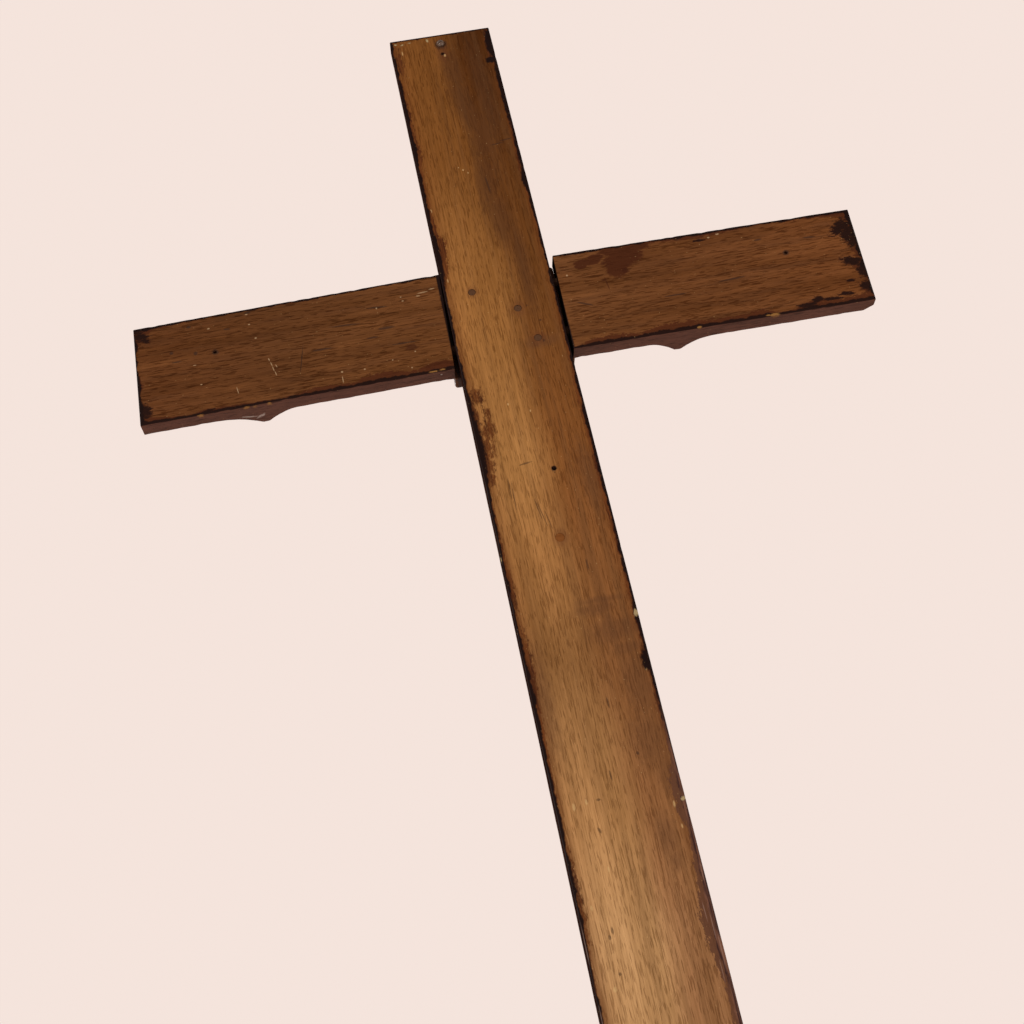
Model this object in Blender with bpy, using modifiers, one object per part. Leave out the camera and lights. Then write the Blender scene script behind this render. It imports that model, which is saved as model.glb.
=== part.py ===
"""Processional cross: a Latin cross of three oak boards, flush and plain on the back.

The frame is metric, +Z runs up the upright, the plain back faces -Y and the front faces +Y.
The origin is at the middle of the foot's end face, halfway through the boards' thickness.
The two arms are butted to the upright's edges on hidden dowels. A square block stands on the
front of the crossing, nailed through from the back. Left and right are those of somebody who
looks at the back.
"""

import math

import bmesh
import bpy
from mathutils import Matrix

# ---- driving dimensions, in metres -------------------------------------------------------
UPRIGHT_LENGTH = 1.200
UPRIGHT_WIDTH = 0.090
BOARD_THICKNESS = 0.015
CROSSING_HEIGHT = 0.898          # from the foot to the middle of the arms
ARM_HEIGHT = 0.092               # of an arm at its inner end
ARM_REACH = 0.300                # from the centreline to an arm's outer end

TOUCHING_GAP = 0.0003            # between faces that meet
FIT_CLEARANCE = 0.0003           # all round a pin in its hole
ARRIS_WEAR = 0.0006              # width of the small bevel on a board's arrises

# How far each arm's outer end lies from a square, untapered board.
LEFT_END_SHORT = 0.0029          # the left arm is this much shorter than the right one
LEFT_TOP_DROP = 0.0044
LEFT_BOTTOM_DROP = 0.0028
LEFT_END_SKEW = 0.0010
RIGHT_TOP_DROP = 0.0026
RIGHT_BOTTOM_DROP = 0.0022
RIGHT_END_SKEW = -0.0019

# Open joint between each arm and the upright, at the arm's top and bottom edge.
LEFT_JOINT_TOP = TOUCHING_GAP
LEFT_JOINT_BOTTOM = 0.0039
RIGHT_JOINT_TOP = 0.0044
RIGHT_JOINT_BOTTOM = 0.0024

# Lopped knots carved on the front of the arms, along the lower edge.
KNOT_HEIGHT = 0.0130
KNOT_TOP_WIDTH = 0.0050
KNOT_LAND = 0.012                # height of the knot that stands to full depth
KNOT_FADE = 0.046                # height over which it dies into the front
LEFT_KNOT_X = -0.203
LEFT_KNOT_OUTER_RUN = 0.036
LEFT_KNOT_INNER_RUN = 0.026
RIGHT_KNOT_X = 0.135
RIGHT_KNOT_INNER_RUN = 0.024
RIGHT_KNOT_OUTER_RUN = 0.026
KNOT_CURVE_STEPS = 6

END_CHAMFER_LENGTH = 0.0117      # on the right arm's front outer corner
END_CHAMFER_DEPTH = 0.0088

DOWEL_DIAMETER = 0.008
DOWEL_IN_UPRIGHT = 0.018
DOWEL_IN_ARM = 0.026
DOWEL_SPACING = 0.048            # between the two dowels of an arm
DOWEL_END_ROOM = 0.0010          # empty length at each end of a dowel's hole

BLOCK_OVERHANG = 0.0045          # past the upright's edge, over the butt joints
BLOCK_SETBACK = 0.00025          # under an arm's top edge and over its bottom edge
BLOCK_THICKNESS = 0.016
BLOCK_CORNER = 0.0030

NAIL_SHANK_DIAMETER = 0.0028
NAIL_HEAD_DIAMETER = 0.0062
NAIL_HEAD_THICKNESS = 0.0012
NAIL_SINK = 0.0002               # the heads lie this far under the back
NAIL_BITE = 0.012                # length in the block
NAIL_POINT = 0.004
BLOCK_NAILS = {                  # name: place on the back, from the middle of the crossing
    "block_nail_upper": (-0.0223, 0.0232),
    "block_nail_middle": (0.0113, 0.0007),
    "block_nail_lower": (0.0216, -0.0300),
}

SCREW_HEAD_DIAMETER = 0.0075
SCREW_HEAD_HEIGHT = 0.0026
SCREW_SHANK_DIAMETER = 0.0032
SCREW_BITE = 0.0100
SCREW_SLOT_WIDTH = 0.0009
SCREW_SLOT_DEPTH = 0.0009
SCREW_BELOW_TOP = 0.0110
SCREW_X = -0.0008

TOP_HOLE_DIAMETER = 0.0028
TOP_HOLE_DEPTH = 0.0090
TOP_HOLE_BELOW_TOP = 0.0228
TOP_HOLE_X = -0.0009

PLUG_DIAMETER = 0.0072
PLUG_DEPTH = 0.0070
PLUG_X = 0.0018
PLUG_BELOW_CROSSING = 0.2065

FIGURE_HOLE_DIAMETER = 0.0040    # for the figure that the front once carried
FIGURE_HOLE_X = 0.0096
FIGURE_HOLE_BELOW_CROSSING = 0.1483
HAND_HOLE_DIAMETER = 0.0030
LEFT_HAND_HOLE = (-0.2337, 0.0074)
RIGHT_HAND_HOLE = (0.2390, 0.0107)

ROUND_SEGMENTS = 28
CUT_MARGIN = 0.010               # how far a cutter runs past what it cuts

# ---- values worked out from them ---------------------------------------------------------
BACK_Y = -BOARD_THICKNESS / 2
FRONT_Y = BOARD_THICKNESS / 2
HALF_WIDTH = UPRIGHT_WIDTH / 2
HALF_ARM = ARM_HEIGHT / 2
BLOCK_WIDTH = UPRIGHT_WIDTH + 2 * BLOCK_OVERHANG
BLOCK_HEIGHT = ARM_HEIGHT - 2 * BLOCK_SETBACK
BLOCK_BACK_Y = FRONT_Y + TOUCHING_GAP
BLOCK_FRONT_Y = BLOCK_BACK_Y + BLOCK_THICKNESS

COLOURS = {                      # linear base colour, roughness, metallic
    "oak_upright": ((0.262, 0.122, 0.035), 0.55, 0.0),
    "oak_arm": ((0.135, 0.052, 0.015), 0.50, 0.0),
    "stained_block": ((0.045, 0.018, 0.010), 0.42, 0.0),
    "beech_dowel": ((0.420, 0.270, 0.130), 0.60, 0.0),
    "filled_plug": ((0.170, 0.062, 0.022), 0.65, 0.0),
    "iron_nail": ((0.060, 0.050, 0.045), 0.55, 0.9),
    "steel_screw": ((0.200, 0.180, 0.160), 0.38, 0.95),
}


def clear_scene():
    for old in list(bpy.data.objects):
        bpy.data.objects.remove(old, do_unlink=True)


def new_collection(name):
    collection = bpy.data.collections.new(name)
    bpy.context.scene.collection.children.link(collection)
    return collection


def new_material(name):
    colour, roughness, metallic = COLOURS[name]
    material = bpy.data.materials.new(name)
    material.use_nodes = True
    shader = material.node_tree.nodes["Principled BSDF"]
    shader.inputs["Base Color"].default_value = (*colour, 1.0)
    shader.inputs["Roughness"].default_value = roughness
    shader.inputs["Metallic"].default_value = metallic
    material.diffuse_color = (*colour, 1.0)
    return material


def move_to(item, collection):
    for holder in list(item.users_collection):
        holder.objects.unlink(item)
    collection.objects.link(item)


def finish_part(item, name, material):
    """Name a finished piece, give it its own material and file it with the parts."""
    item.name = name
    item.data.name = name
    item.data.materials.clear()
    item.data.materials.append(new_material(material))
    item.data.shade_smooth()
    item.data.set_sharp_from_angle(angle=math.radians(35))
    move_to(item, PARTS)
    return item


def hide_cutter(item):
    item.hide_render = True
    item.display_type = "WIRE"
    move_to(item, CUTTERS)
    return item


def add_boolean(item, other, operation):
    modifier = item.modifiers.new(operation.lower(), "BOOLEAN")
    modifier.operation = operation
    modifier.solver = "EXACT"
    modifier.object = other
    return modifier


def add_bevel(item, width, segments):
    modifier = item.modifiers.new("worn arrises", "BEVEL")
    modifier.width = width
    modifier.segments = segments
    modifier.limit_method = "ANGLE"
    modifier.angle_limit = math.radians(40)
    return modifier


def box(lower, upper):
    """A box from its lowest to its highest corner, with its scale applied."""
    size = [high - low for low, high in zip(lower, upper)]
    middle = [(high + low) / 2 for low, high in zip(lower, upper)]
    bpy.ops.mesh.primitive_cube_add(size=1.0, location=middle)
    item = bpy.context.object
    item.scale = size
    bpy.ops.object.transform_apply(location=False, rotation=False, scale=True)
    return item


def rod_along_y(x, z, start, end, diameter):
    """A cylinder that runs through the boards' thickness."""
    bpy.ops.mesh.primitive_cylinder_add(
        vertices=ROUND_SEGMENTS, radius=diameter / 2, depth=end - start,
        location=(x, (start + end) / 2, z), rotation=(math.radians(90), 0, 0))
    return bpy.context.object


def rod_along_x(z, start, end, diameter):
    """A cylinder that runs along the arms, halfway through the boards."""
    bpy.ops.mesh.primitive_cylinder_add(
        vertices=ROUND_SEGMENTS, radius=diameter / 2, depth=end - start,
        location=((start + end) / 2, 0, z), rotation=(0, math.radians(90), 0))
    return bpy.context.object


def prism(outline, start, end, turn):
    """A flat outline filled and given thickness, then turned, as a mesh with welded caps.

    The outline lies in the curve's own XY plane, and the thickness runs from start to end
    along its own Z. The matrix turn brings it into the cross's frame.
    """
    curve = bpy.data.curves.new("outline", "CURVE")
    curve.dimensions = "2D"
    curve.fill_mode = "BOTH"
    curve.extrude = (end - start) / 2
    spline = curve.splines.new("POLY")
    spline.points.add(len(outline) - 1)
    for point, (u, v) in zip(spline.points, outline):
        point.co = (u, v, 0, 1)
    spline.use_cyclic_u = True
    drawn = bpy.data.objects.new("outline", curve)
    drawn.matrix_world = turn @ Matrix.Translation((0, 0, (start + end) / 2))
    bpy.context.scene.collection.objects.link(drawn)
    bpy.context.view_layer.update()
    evaluated = drawn.evaluated_get(bpy.context.evaluated_depsgraph_get())
    mesh = bpy.data.meshes.new_from_object(evaluated)
    weld(mesh)
    solid = bpy.data.objects.new("prism", mesh)
    solid.matrix_world = drawn.matrix_world.copy()
    bpy.context.scene.collection.objects.link(solid)
    bpy.data.objects.remove(drawn, do_unlink=True)
    return solid


def weld(mesh):
    work = bmesh.new()
    work.from_mesh(mesh)
    bmesh.ops.remove_doubles(work, verts=work.verts, dist=0.00001)
    bmesh.ops.recalc_face_normals(work, faces=work.faces)
    work.to_mesh(mesh)
    work.free()


# An outline in (x, z) with its thickness along -Y, and one in (x, y) with its height along Z.
ELEVATION = Matrix.Rotation(math.radians(90), 4, "X")
PLAN = Matrix.Identity(4)
SECTION = Matrix(((0, 0, 1, 0), (1, 0, 0, 0), (0, 1, 0, 0), (0, 0, 0, 1)))


def arm_edges(side):
    """The arm's four corners on the back as (x, z), from the upright's edge outwards."""
    if side < 0:
        joint_top, joint_bottom = LEFT_JOINT_TOP, LEFT_JOINT_BOTTOM
        top_drop, bottom_drop, skew = LEFT_TOP_DROP, LEFT_BOTTOM_DROP, LEFT_END_SKEW
    else:
        joint_top, joint_bottom = RIGHT_JOINT_TOP, RIGHT_JOINT_BOTTOM
        top_drop, bottom_drop, skew = RIGHT_TOP_DROP, RIGHT_BOTTOM_DROP, RIGHT_END_SKEW
    reach = ARM_REACH - (LEFT_END_SHORT if side < 0 else 0)
    return [
        (side * (HALF_WIDTH + joint_top), CROSSING_HEIGHT + HALF_ARM),
        (side * (reach - skew), CROSSING_HEIGHT + HALF_ARM - top_drop),
        (side * (reach + skew), CROSSING_HEIGHT - HALF_ARM - bottom_drop),
        (side * (HALF_WIDTH + joint_bottom), CROSSING_HEIGHT - HALF_ARM),
    ]


def knot_outline(peak_x, run_left, run_right):
    """A knot seen from below, as (x, y): two hollow flanks that meet in a blunt top.

    Each flank's height is the knot's height times the square of the way along its run.
    """
    steps = [index / KNOT_CURVE_STEPS for index in range(KNOT_CURVE_STEPS + 1)]
    half_top = KNOT_TOP_WIDTH / 2
    rising = [(peak_x - half_top - run_left * (1 - s), FRONT_Y + KNOT_HEIGHT * s ** 2)
              for s in steps]
    falling = [(peak_x + half_top + run_right * s, FRONT_Y + KNOT_HEIGHT * (1 - s) ** 2)
               for s in steps]
    first_x = rising[0][0]
    last_x = falling[-1][0]
    return rising + falling + [(last_x, 0), (first_x, 0)]


def knot(peak_x, run_left, run_right):
    """A knot over the lower part of an arm's front, its upper side lopped off on a slant."""
    lowest = CROSSING_HEIGHT - HALF_ARM - CUT_MARGIN
    edge = CROSSING_HEIGHT - HALF_ARM
    outline = knot_outline(peak_x, run_left, run_right)
    solid = prism(outline, lowest, edge + KNOT_LAND + KNOT_FADE, PLAN)
    slope = KNOT_FADE / KNOT_HEIGHT
    far_y = FRONT_Y + KNOT_HEIGHT + CUT_MARGIN
    near_y = 0.0
    lop = prism(
        [(near_y, edge + KNOT_LAND + KNOT_FADE + slope * (FRONT_Y - near_y)),
         (far_y, edge + KNOT_LAND - slope * CUT_MARGIN),
         (far_y, edge + ARM_HEIGHT * 2),
         (near_y, edge + ARM_HEIGHT * 2)],
        peak_x - run_left - CUT_MARGIN * 2, peak_x + run_right + CUT_MARGIN * 2, SECTION)
    hide_cutter(lop)
    add_boolean(solid, lop, "DIFFERENCE")
    return solid


def board_plan(side):
    """An arm's board seen from above, as (x, y)."""
    inner = side * HALF_WIDTH * 0.9
    outer = side * (ARM_REACH + CUT_MARGIN)
    if side < 0:
        return [(inner, BACK_Y), (inner, FRONT_Y), (outer, FRONT_Y), (outer, BACK_Y)]
    start = ARM_REACH - END_CHAMFER_LENGTH
    end_y = FRONT_Y - END_CHAMFER_DEPTH
    return [(inner, BACK_Y), (inner, FRONT_Y), (start, FRONT_Y), (ARM_REACH, end_y),
            (outer, end_y), (outer, BACK_Y)]


def dowel_heights():
    return {"upper": CROSSING_HEIGHT + DOWEL_SPACING / 2,
            "lower": CROSSING_HEIGHT - DOWEL_SPACING / 2}


def dowel_span(side):
    """The two ends of a dowel along X."""
    inner = side * (HALF_WIDTH - DOWEL_IN_UPRIGHT)
    outer = side * (HALF_WIDTH + DOWEL_IN_ARM)
    return min(inner, outer), max(inner, outer)


def cut_dowel_holes(item, side):
    for height in dowel_heights().values():
        start, end = dowel_span(side)
        hole = rod_along_x(height, start - DOWEL_END_ROOM, end + DOWEL_END_ROOM,
                           DOWEL_DIAMETER + 2 * FIT_CLEARANCE)
        hide_cutter(hole)
        add_boolean(item, hole, "DIFFERENCE")


def cut_round_hole(item, x, z, start, end, diameter):
    hole = rod_along_y(x, z, start, end, diameter)
    hide_cutter(hole)
    add_boolean(item, hole, "DIFFERENCE")


def make_arm(side, name):
    """A tapered board with one lopped knot, two dowel holes and a hole for a hand's nail."""
    lowest = CROSSING_HEIGHT - ARM_HEIGHT
    highest = CROSSING_HEIGHT + ARM_HEIGHT
    arm = prism(board_plan(side), lowest, highest, PLAN)
    if side < 0:
        stub = knot(LEFT_KNOT_X, LEFT_KNOT_OUTER_RUN, LEFT_KNOT_INNER_RUN)
        hand_x, hand_z = LEFT_HAND_HOLE
    else:
        stub = knot(RIGHT_KNOT_X, RIGHT_KNOT_INNER_RUN, RIGHT_KNOT_OUTER_RUN)
        hand_x, hand_z = RIGHT_HAND_HOLE
    hide_cutter(stub)
    add_boolean(arm, stub, "UNION")
    shape = prism(arm_edges(side), -BLOCK_FRONT_Y - CUT_MARGIN, -BACK_Y + CUT_MARGIN,
                  ELEVATION)
    hide_cutter(shape)
    add_boolean(arm, shape, "INTERSECT")
    add_bevel(arm, ARRIS_WEAR, 1)
    cut_dowel_holes(arm, side)
    cut_round_hole(arm, hand_x, CROSSING_HEIGHT + hand_z, BACK_Y - CUT_MARGIN,
                   FRONT_Y + CUT_MARGIN, HAND_HOLE_DIAMETER)
    return finish_part(arm, name, "oak_arm")


def cut_nail_hole(item, x, z):
    """A hole right through the upright, stepped wider at the back to seat the nail's head."""
    head = NAIL_HEAD_DIAMETER / 2 + FIT_CLEARANCE
    shank = NAIL_SHANK_DIAMETER / 2 + FIT_CLEARANCE
    mouth_y = BACK_Y - CUT_MARGIN
    seat_y = BACK_Y + NAIL_SINK + NAIL_HEAD_THICKNESS + TOUCHING_GAP
    far_y = FRONT_Y + CUT_MARGIN
    profile = [(0, mouth_y), (head, mouth_y), (head, seat_y), (shank, seat_y),
               (shank, far_y), (0, far_y)]
    hole = turned_along_y(profile, x, z)
    hide_cutter(hole)
    add_boolean(item, hole, "DIFFERENCE")


def make_upright():
    """The long board, with the holes for dowels, nails, screw, plug and figure."""
    upright = box((-HALF_WIDTH, BACK_Y, 0), (HALF_WIDTH, FRONT_Y, UPRIGHT_LENGTH))
    add_bevel(upright, ARRIS_WEAR, 1)
    for side in (-1, 1):
        cut_dowel_holes(upright, side)
    for x, z in BLOCK_NAILS.values():
        cut_nail_hole(upright, x, CROSSING_HEIGHT + z)
    cut_round_hole(upright, SCREW_X, UPRIGHT_LENGTH - SCREW_BELOW_TOP, BACK_Y - CUT_MARGIN,
                   BACK_Y + SCREW_BITE + TOUCHING_GAP,
                   SCREW_SHANK_DIAMETER + 2 * FIT_CLEARANCE)
    cut_round_hole(upright, TOP_HOLE_X, UPRIGHT_LENGTH - TOP_HOLE_BELOW_TOP,
                   BACK_Y - CUT_MARGIN, BACK_Y + TOP_HOLE_DEPTH, TOP_HOLE_DIAMETER)
    cut_round_hole(upright, PLUG_X, CROSSING_HEIGHT - PLUG_BELOW_CROSSING,
                   BACK_Y - CUT_MARGIN, BACK_Y + PLUG_DEPTH + TOUCHING_GAP,
                   PLUG_DIAMETER + 2 * FIT_CLEARANCE)
    cut_round_hole(upright, FIGURE_HOLE_X, CROSSING_HEIGHT - FIGURE_HOLE_BELOW_CROSSING,
                   BACK_Y - CUT_MARGIN, FRONT_Y + CUT_MARGIN, FIGURE_HOLE_DIAMETER)
    return finish_part(upright, "upright_board", "oak_upright")


def make_block():
    """The square block on the front of the crossing, with blind holes for its nails."""
    block = box(
        (-BLOCK_WIDTH / 2, BLOCK_BACK_Y, CROSSING_HEIGHT - BLOCK_HEIGHT / 2),
        (BLOCK_WIDTH / 2, BLOCK_FRONT_Y, CROSSING_HEIGHT + BLOCK_HEIGHT / 2))
    add_bevel(block, BLOCK_CORNER, 3)
    for x, z in BLOCK_NAILS.values():
        cut_round_hole(block, x, CROSSING_HEIGHT + z, BLOCK_BACK_Y - CUT_MARGIN,
                       BLOCK_BACK_Y + NAIL_BITE + TOUCHING_GAP,
                       NAIL_SHANK_DIAMETER + 2 * FIT_CLEARANCE)
    return finish_part(block, "crossing_block", "stained_block")


def turned_along_y(profile, x, z):
    """A turned piece from (radius, y) points, from its outer face inwards, about Y.

    The profile runs down its outer side, so that the Screw modifier faces outwards.
    """
    curve_mesh = bpy.data.meshes.new("profile")
    points = [(radius, 0, -y) for radius, y in profile]
    edges = [(index, index + 1) for index in range(len(points) - 1)]
    curve_mesh.from_pydata(points, edges, [])
    item = bpy.data.objects.new("turned", curve_mesh)
    item.location = (x, 0, z)
    item.rotation_euler = (math.radians(90), 0, 0)
    bpy.context.scene.collection.objects.link(item)
    screw = item.modifiers.new("turn", "SCREW")
    screw.axis = "Z"
    screw.steps = ROUND_SEGMENTS
    screw.render_steps = ROUND_SEGMENTS
    screw.use_merge_vertices = True
    screw.merge_threshold = 0.00001
    return item


def make_nail(name, x, z):
    """A flat-headed wrought nail with a tapered point, driven in from the back."""
    head_y = BACK_Y + NAIL_SINK
    neck_y = head_y + NAIL_HEAD_THICKNESS
    tip_y = BLOCK_BACK_Y + NAIL_BITE
    shank = NAIL_SHANK_DIAMETER / 2
    head = NAIL_HEAD_DIAMETER / 2
    profile = [(0, head_y), (head * 0.85, head_y), (head, head_y + NAIL_HEAD_THICKNESS * 0.3),
               (head, neck_y), (shank, neck_y), (shank, tip_y - NAIL_POINT),
               (shank * 0.3, tip_y), (0, tip_y)]
    nail = turned_along_y(profile, x, CROSSING_HEIGHT + z)
    return finish_part(nail, name, "iron_nail")


def make_screw():
    """A round-headed slotted screw near the top, to hang the cross from."""
    rest_y = BACK_Y - TOUCHING_GAP
    tip_y = BACK_Y + SCREW_BITE
    head = SCREW_HEAD_DIAMETER / 2
    shank = SCREW_SHANK_DIAMETER / 2
    arc_steps = 6
    dome = []
    for index in range(arc_steps + 1):
        angle = math.radians(90) * index / arc_steps
        dome.append((head * math.sin(angle), rest_y - SCREW_HEAD_HEIGHT * math.cos(angle)))
    profile = dome + [(shank, rest_y), (shank, tip_y - shank * 1.5), (0, tip_y)]
    height = UPRIGHT_LENGTH - SCREW_BELOW_TOP
    screw = turned_along_y(profile, SCREW_X, height)
    top_y = rest_y - SCREW_HEAD_HEIGHT
    slot = box(
        (SCREW_X - head - CUT_MARGIN, top_y - CUT_MARGIN, height - SCREW_SLOT_WIDTH / 2),
        (SCREW_X + head + CUT_MARGIN, top_y + SCREW_SLOT_DEPTH,
         height + SCREW_SLOT_WIDTH / 2))
    hide_cutter(slot)
    add_boolean(screw, slot, "DIFFERENCE")
    return finish_part(screw, "hanging_screw", "steel_screw")


def make_plug():
    """The round plug that fills an old hole in the back of the upright."""
    plug = rod_along_y(PLUG_X, CROSSING_HEIGHT - PLUG_BELOW_CROSSING, BACK_Y,
                       BACK_Y + PLUG_DEPTH, PLUG_DIAMETER)
    return finish_part(plug, "wood_plug", "filled_plug")


def make_dowels():
    for side, arm in ((-1, "left"), (1, "right")):
        for level, height in dowel_heights().items():
            start, end = dowel_span(side)
            dowel = rod_along_x(height, start, end, DOWEL_DIAMETER)
            add_bevel(dowel, DOWEL_DIAMETER / 10, 1)
            finish_part(dowel, f"{arm}_arm_dowel_{level}", "beech_dowel")


clear_scene()
PARTS = new_collection("processional_cross")
CUTTERS = new_collection("cutters")
make_upright()
make_arm(-1, "left_arm")
make_arm(1, "right_arm")
make_block()
make_dowels()
for nail_name, (nail_x, nail_z) in BLOCK_NAILS.items():
    make_nail(nail_name, nail_x, nail_z)
make_screw()
make_plug()
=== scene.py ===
# %% [markdown]
# # A processional cross of three oak boards
#
# This lesson dresses a plain working model of a wooden cross. Its back is flat worn oak, with
# dark varnish left along the arrises, three nail heads at the crossing and a hanging screw at
# the top. Its front carries a square block and two lopped knots. The frame gives every place,
# so each cell only adds surfaces, finishes, light and a camera.

# %% Load the frame
import math

import bmesh
import bpy
import numpy as np
from mathutils import Matrix, Quaternion, Vector


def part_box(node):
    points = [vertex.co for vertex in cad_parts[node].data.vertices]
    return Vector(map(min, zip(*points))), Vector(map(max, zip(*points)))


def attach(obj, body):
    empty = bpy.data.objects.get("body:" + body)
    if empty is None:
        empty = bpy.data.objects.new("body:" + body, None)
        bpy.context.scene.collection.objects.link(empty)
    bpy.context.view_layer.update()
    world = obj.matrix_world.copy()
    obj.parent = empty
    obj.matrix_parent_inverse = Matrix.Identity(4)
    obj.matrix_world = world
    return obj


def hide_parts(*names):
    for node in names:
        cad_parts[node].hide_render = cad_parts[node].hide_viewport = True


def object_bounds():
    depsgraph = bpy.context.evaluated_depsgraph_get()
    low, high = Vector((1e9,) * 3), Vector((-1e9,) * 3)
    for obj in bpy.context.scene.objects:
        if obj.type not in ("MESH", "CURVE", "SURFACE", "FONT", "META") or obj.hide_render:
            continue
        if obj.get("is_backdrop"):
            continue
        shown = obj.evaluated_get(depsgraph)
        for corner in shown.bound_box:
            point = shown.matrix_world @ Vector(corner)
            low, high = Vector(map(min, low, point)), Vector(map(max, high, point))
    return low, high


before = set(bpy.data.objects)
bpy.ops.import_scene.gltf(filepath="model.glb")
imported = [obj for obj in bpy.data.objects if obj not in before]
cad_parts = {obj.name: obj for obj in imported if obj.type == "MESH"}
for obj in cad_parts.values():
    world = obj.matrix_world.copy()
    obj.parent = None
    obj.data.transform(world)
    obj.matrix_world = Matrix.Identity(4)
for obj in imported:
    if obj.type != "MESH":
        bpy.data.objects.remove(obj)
cad_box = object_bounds()
scene = bpy.context.scene
print("nodes:", ", ".join(sorted(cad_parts)))

# %% [markdown]
# ## The places that the rest is worked out from
#
# The block is centred on the crossing, so its box gives the crossing's height. The back of the
# boards is the upright's lowest Y. Everything placed one by one later is an offset in millimetres
# from the crossing: x to the right as seen from the back, z up.

# %% Key places
MM = 0.001
block_low, block_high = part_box("crossing_block")
upright_low, upright_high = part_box("upright_board")
crossing_z = (block_low.z + block_high.z) / 2
back_y, front_y = upright_low.y, upright_high.y
half_width = upright_high.x
top_z = upright_high.z
print(f"crossing {crossing_z:.3f} m up, boards from y {back_y:.4f} to {front_y:.4f}")

# %% [markdown]
# ## The camera
#
# The camera stands low and close behind the cross and looks up at it, so the long board runs
# down out of the view and the boards' lower sides show. A long lens keeps the arms nearly
# parallel. It is placed by its eye and the point it aims at, then rolled about its own axis.

# %% Camera
EYE = Vector((-0.1230, -1.0109, crossing_z - 0.6628))
AIM = Vector((-0.0293, back_y, crossing_z - 0.1787))
ROLL = math.radians(-12.54)
LENS = 52.08


def add_camera():
    """A long lens at the eye, turned to the aim and then rolled about its own axis."""
    data = bpy.data.cameras.new("camera")
    data.lens = LENS
    data.sensor_width = 36
    camera = bpy.data.objects.new("camera", data)
    camera.location = EYE
    camera.rotation_mode = "QUATERNION"
    level = (AIM - EYE).to_track_quat("-Z", "Y")
    camera.rotation_quaternion = level @ Quaternion((0, 0, 1), ROLL)
    scene.collection.objects.link(camera)
    scene.camera = camera


add_camera()
print(f"camera {(AIM - EYE).length:.2f} m from the boards")

# %% [markdown]
# ## Noise for shapes
#
# Worn wood is never straight. A shape's small errors come from smooth noise: random numbers on
# a square lattice, eased from one to the next. A fixed seed gives the same wear every time.

# %% Smooth noise
LATTICE = 64


def soft_noise(u, v, seed):
    """Noise in -1..1 at (u, v), one lattice step per unit.

    Each cell blends its four corner numbers with the weight 3s^2 - 2s^3 along both sides.
    """
    table = np.random.default_rng(seed).uniform(-1, 1, (LATTICE, LATTICE))
    column, row = np.floor(u).astype(int), np.floor(v).astype(int)
    s, t = u - column, v - row
    s, t = s * s * (3 - 2 * s), t * t * (3 - 2 * t)
    corner = lambda i, j: table[(column + i) % LATTICE, (row + j) % LATTICE]
    low = corner(0, 0) * (1 - s) + corner(1, 0) * s
    high = corner(0, 1) * (1 - s) + corner(1, 1) * s
    return low * (1 - t) + high * t


print("noise sample:", round(float(soft_noise(np.array(0.3), np.array(0.7), 1)), 3))

# %% [markdown]
# ## A worn board
#
# A board could be a bevelled cube, but a real one has uneven arrises, chips and a hewn front.
# Here it is one surface: a rounded rectangle carried from end to end, its rings drawing in at
# each end until they close. Every corner of the section rolls over by its own changing radius.

# %% Once round a board's section
def section(wide_steps, thick_steps, corner_steps):
    """Once round a board's section, as (across, through, offset across, offset through).

    The first two run 0..1 over the straight sides, and the last two are the unit circle's
    cosine and sine over each corner's quarter turn, and straight out along each side.
    """
    wide = np.linspace(0, 1, wide_steps + 1)[1:-1]
    thick = np.linspace(0, 1, thick_steps + 1)[1:-1]
    turn = np.linspace(0, math.pi / 2, corner_steps + 1)
    flat, one = np.zeros_like, np.ones_like
    runs = [
        (wide, flat(wide), flat(wide), -one(wide)),
        (one(turn), flat(turn), np.sin(turn), -np.cos(turn)),
        (one(thick), thick, one(thick), flat(thick)),
        (one(turn), one(turn), np.cos(turn), np.sin(turn)),
        (wide[::-1], one(wide), flat(wide), one(wide)),
        (flat(turn), one(turn), -np.sin(turn), np.cos(turn)),
        (flat(thick), thick[::-1], -one(thick), flat(thick)),
        (flat(turn), flat(turn), -np.cos(turn), -np.sin(turn)),
    ]
    return [np.concatenate(part) for part in zip(*runs)]


ROLL_RINGS = 5
FACE_RINGS = 5


def stations(length, step, radius, half_thickness):
    """Places along a board and how far each ring is drawn in there.

    An end rolls over as a quarter circle, radius * (1 - sin, 1 - cos), and its flat face is
    rings drawn in further and further until they meet in the middle of the thickness.
    """
    roll = np.linspace(0, math.pi / 2, ROLL_RINGS)
    face = np.linspace(half_thickness, radius, FACE_RINGS + 1)
    inset = np.concatenate([face[:-1], radius * (1 - np.cos(roll[::-1]))])
    along = np.concatenate([np.zeros(FACE_RINGS), radius * (1 - np.sin(roll[::-1]))])
    count = int((length - 2 * radius) / step)
    middle = np.linspace(radius, length - radius, count + 1)[1:-1]
    return (np.concatenate([along, middle, length - along[::-1]]),
            np.concatenate([inset, np.zeros(count - 1), inset[::-1]]))


print("section points:", len(section(8, 4, 2)[0]))

# %% [markdown]
# ## Chips and dents
#
# Arrises get knocked. Each chip is a smooth hollow pushed in from the corner towards the middle
# of the board, longer along the grain than across it, because oak splits that way.

# %% Chips along the arrises
def chip_depth(points, centre, size, grain):
    """A hollow's depth, 0..1: the bell (1 - d^2)^2, where d is the distance in sizes."""
    stretch = np.full(3, size)
    stretch[grain] *= 2.2
    distance = np.sum(((points - centre) / stretch) ** 2, axis=-1)
    return np.clip(1 - distance, 0, 1) ** 2


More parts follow.
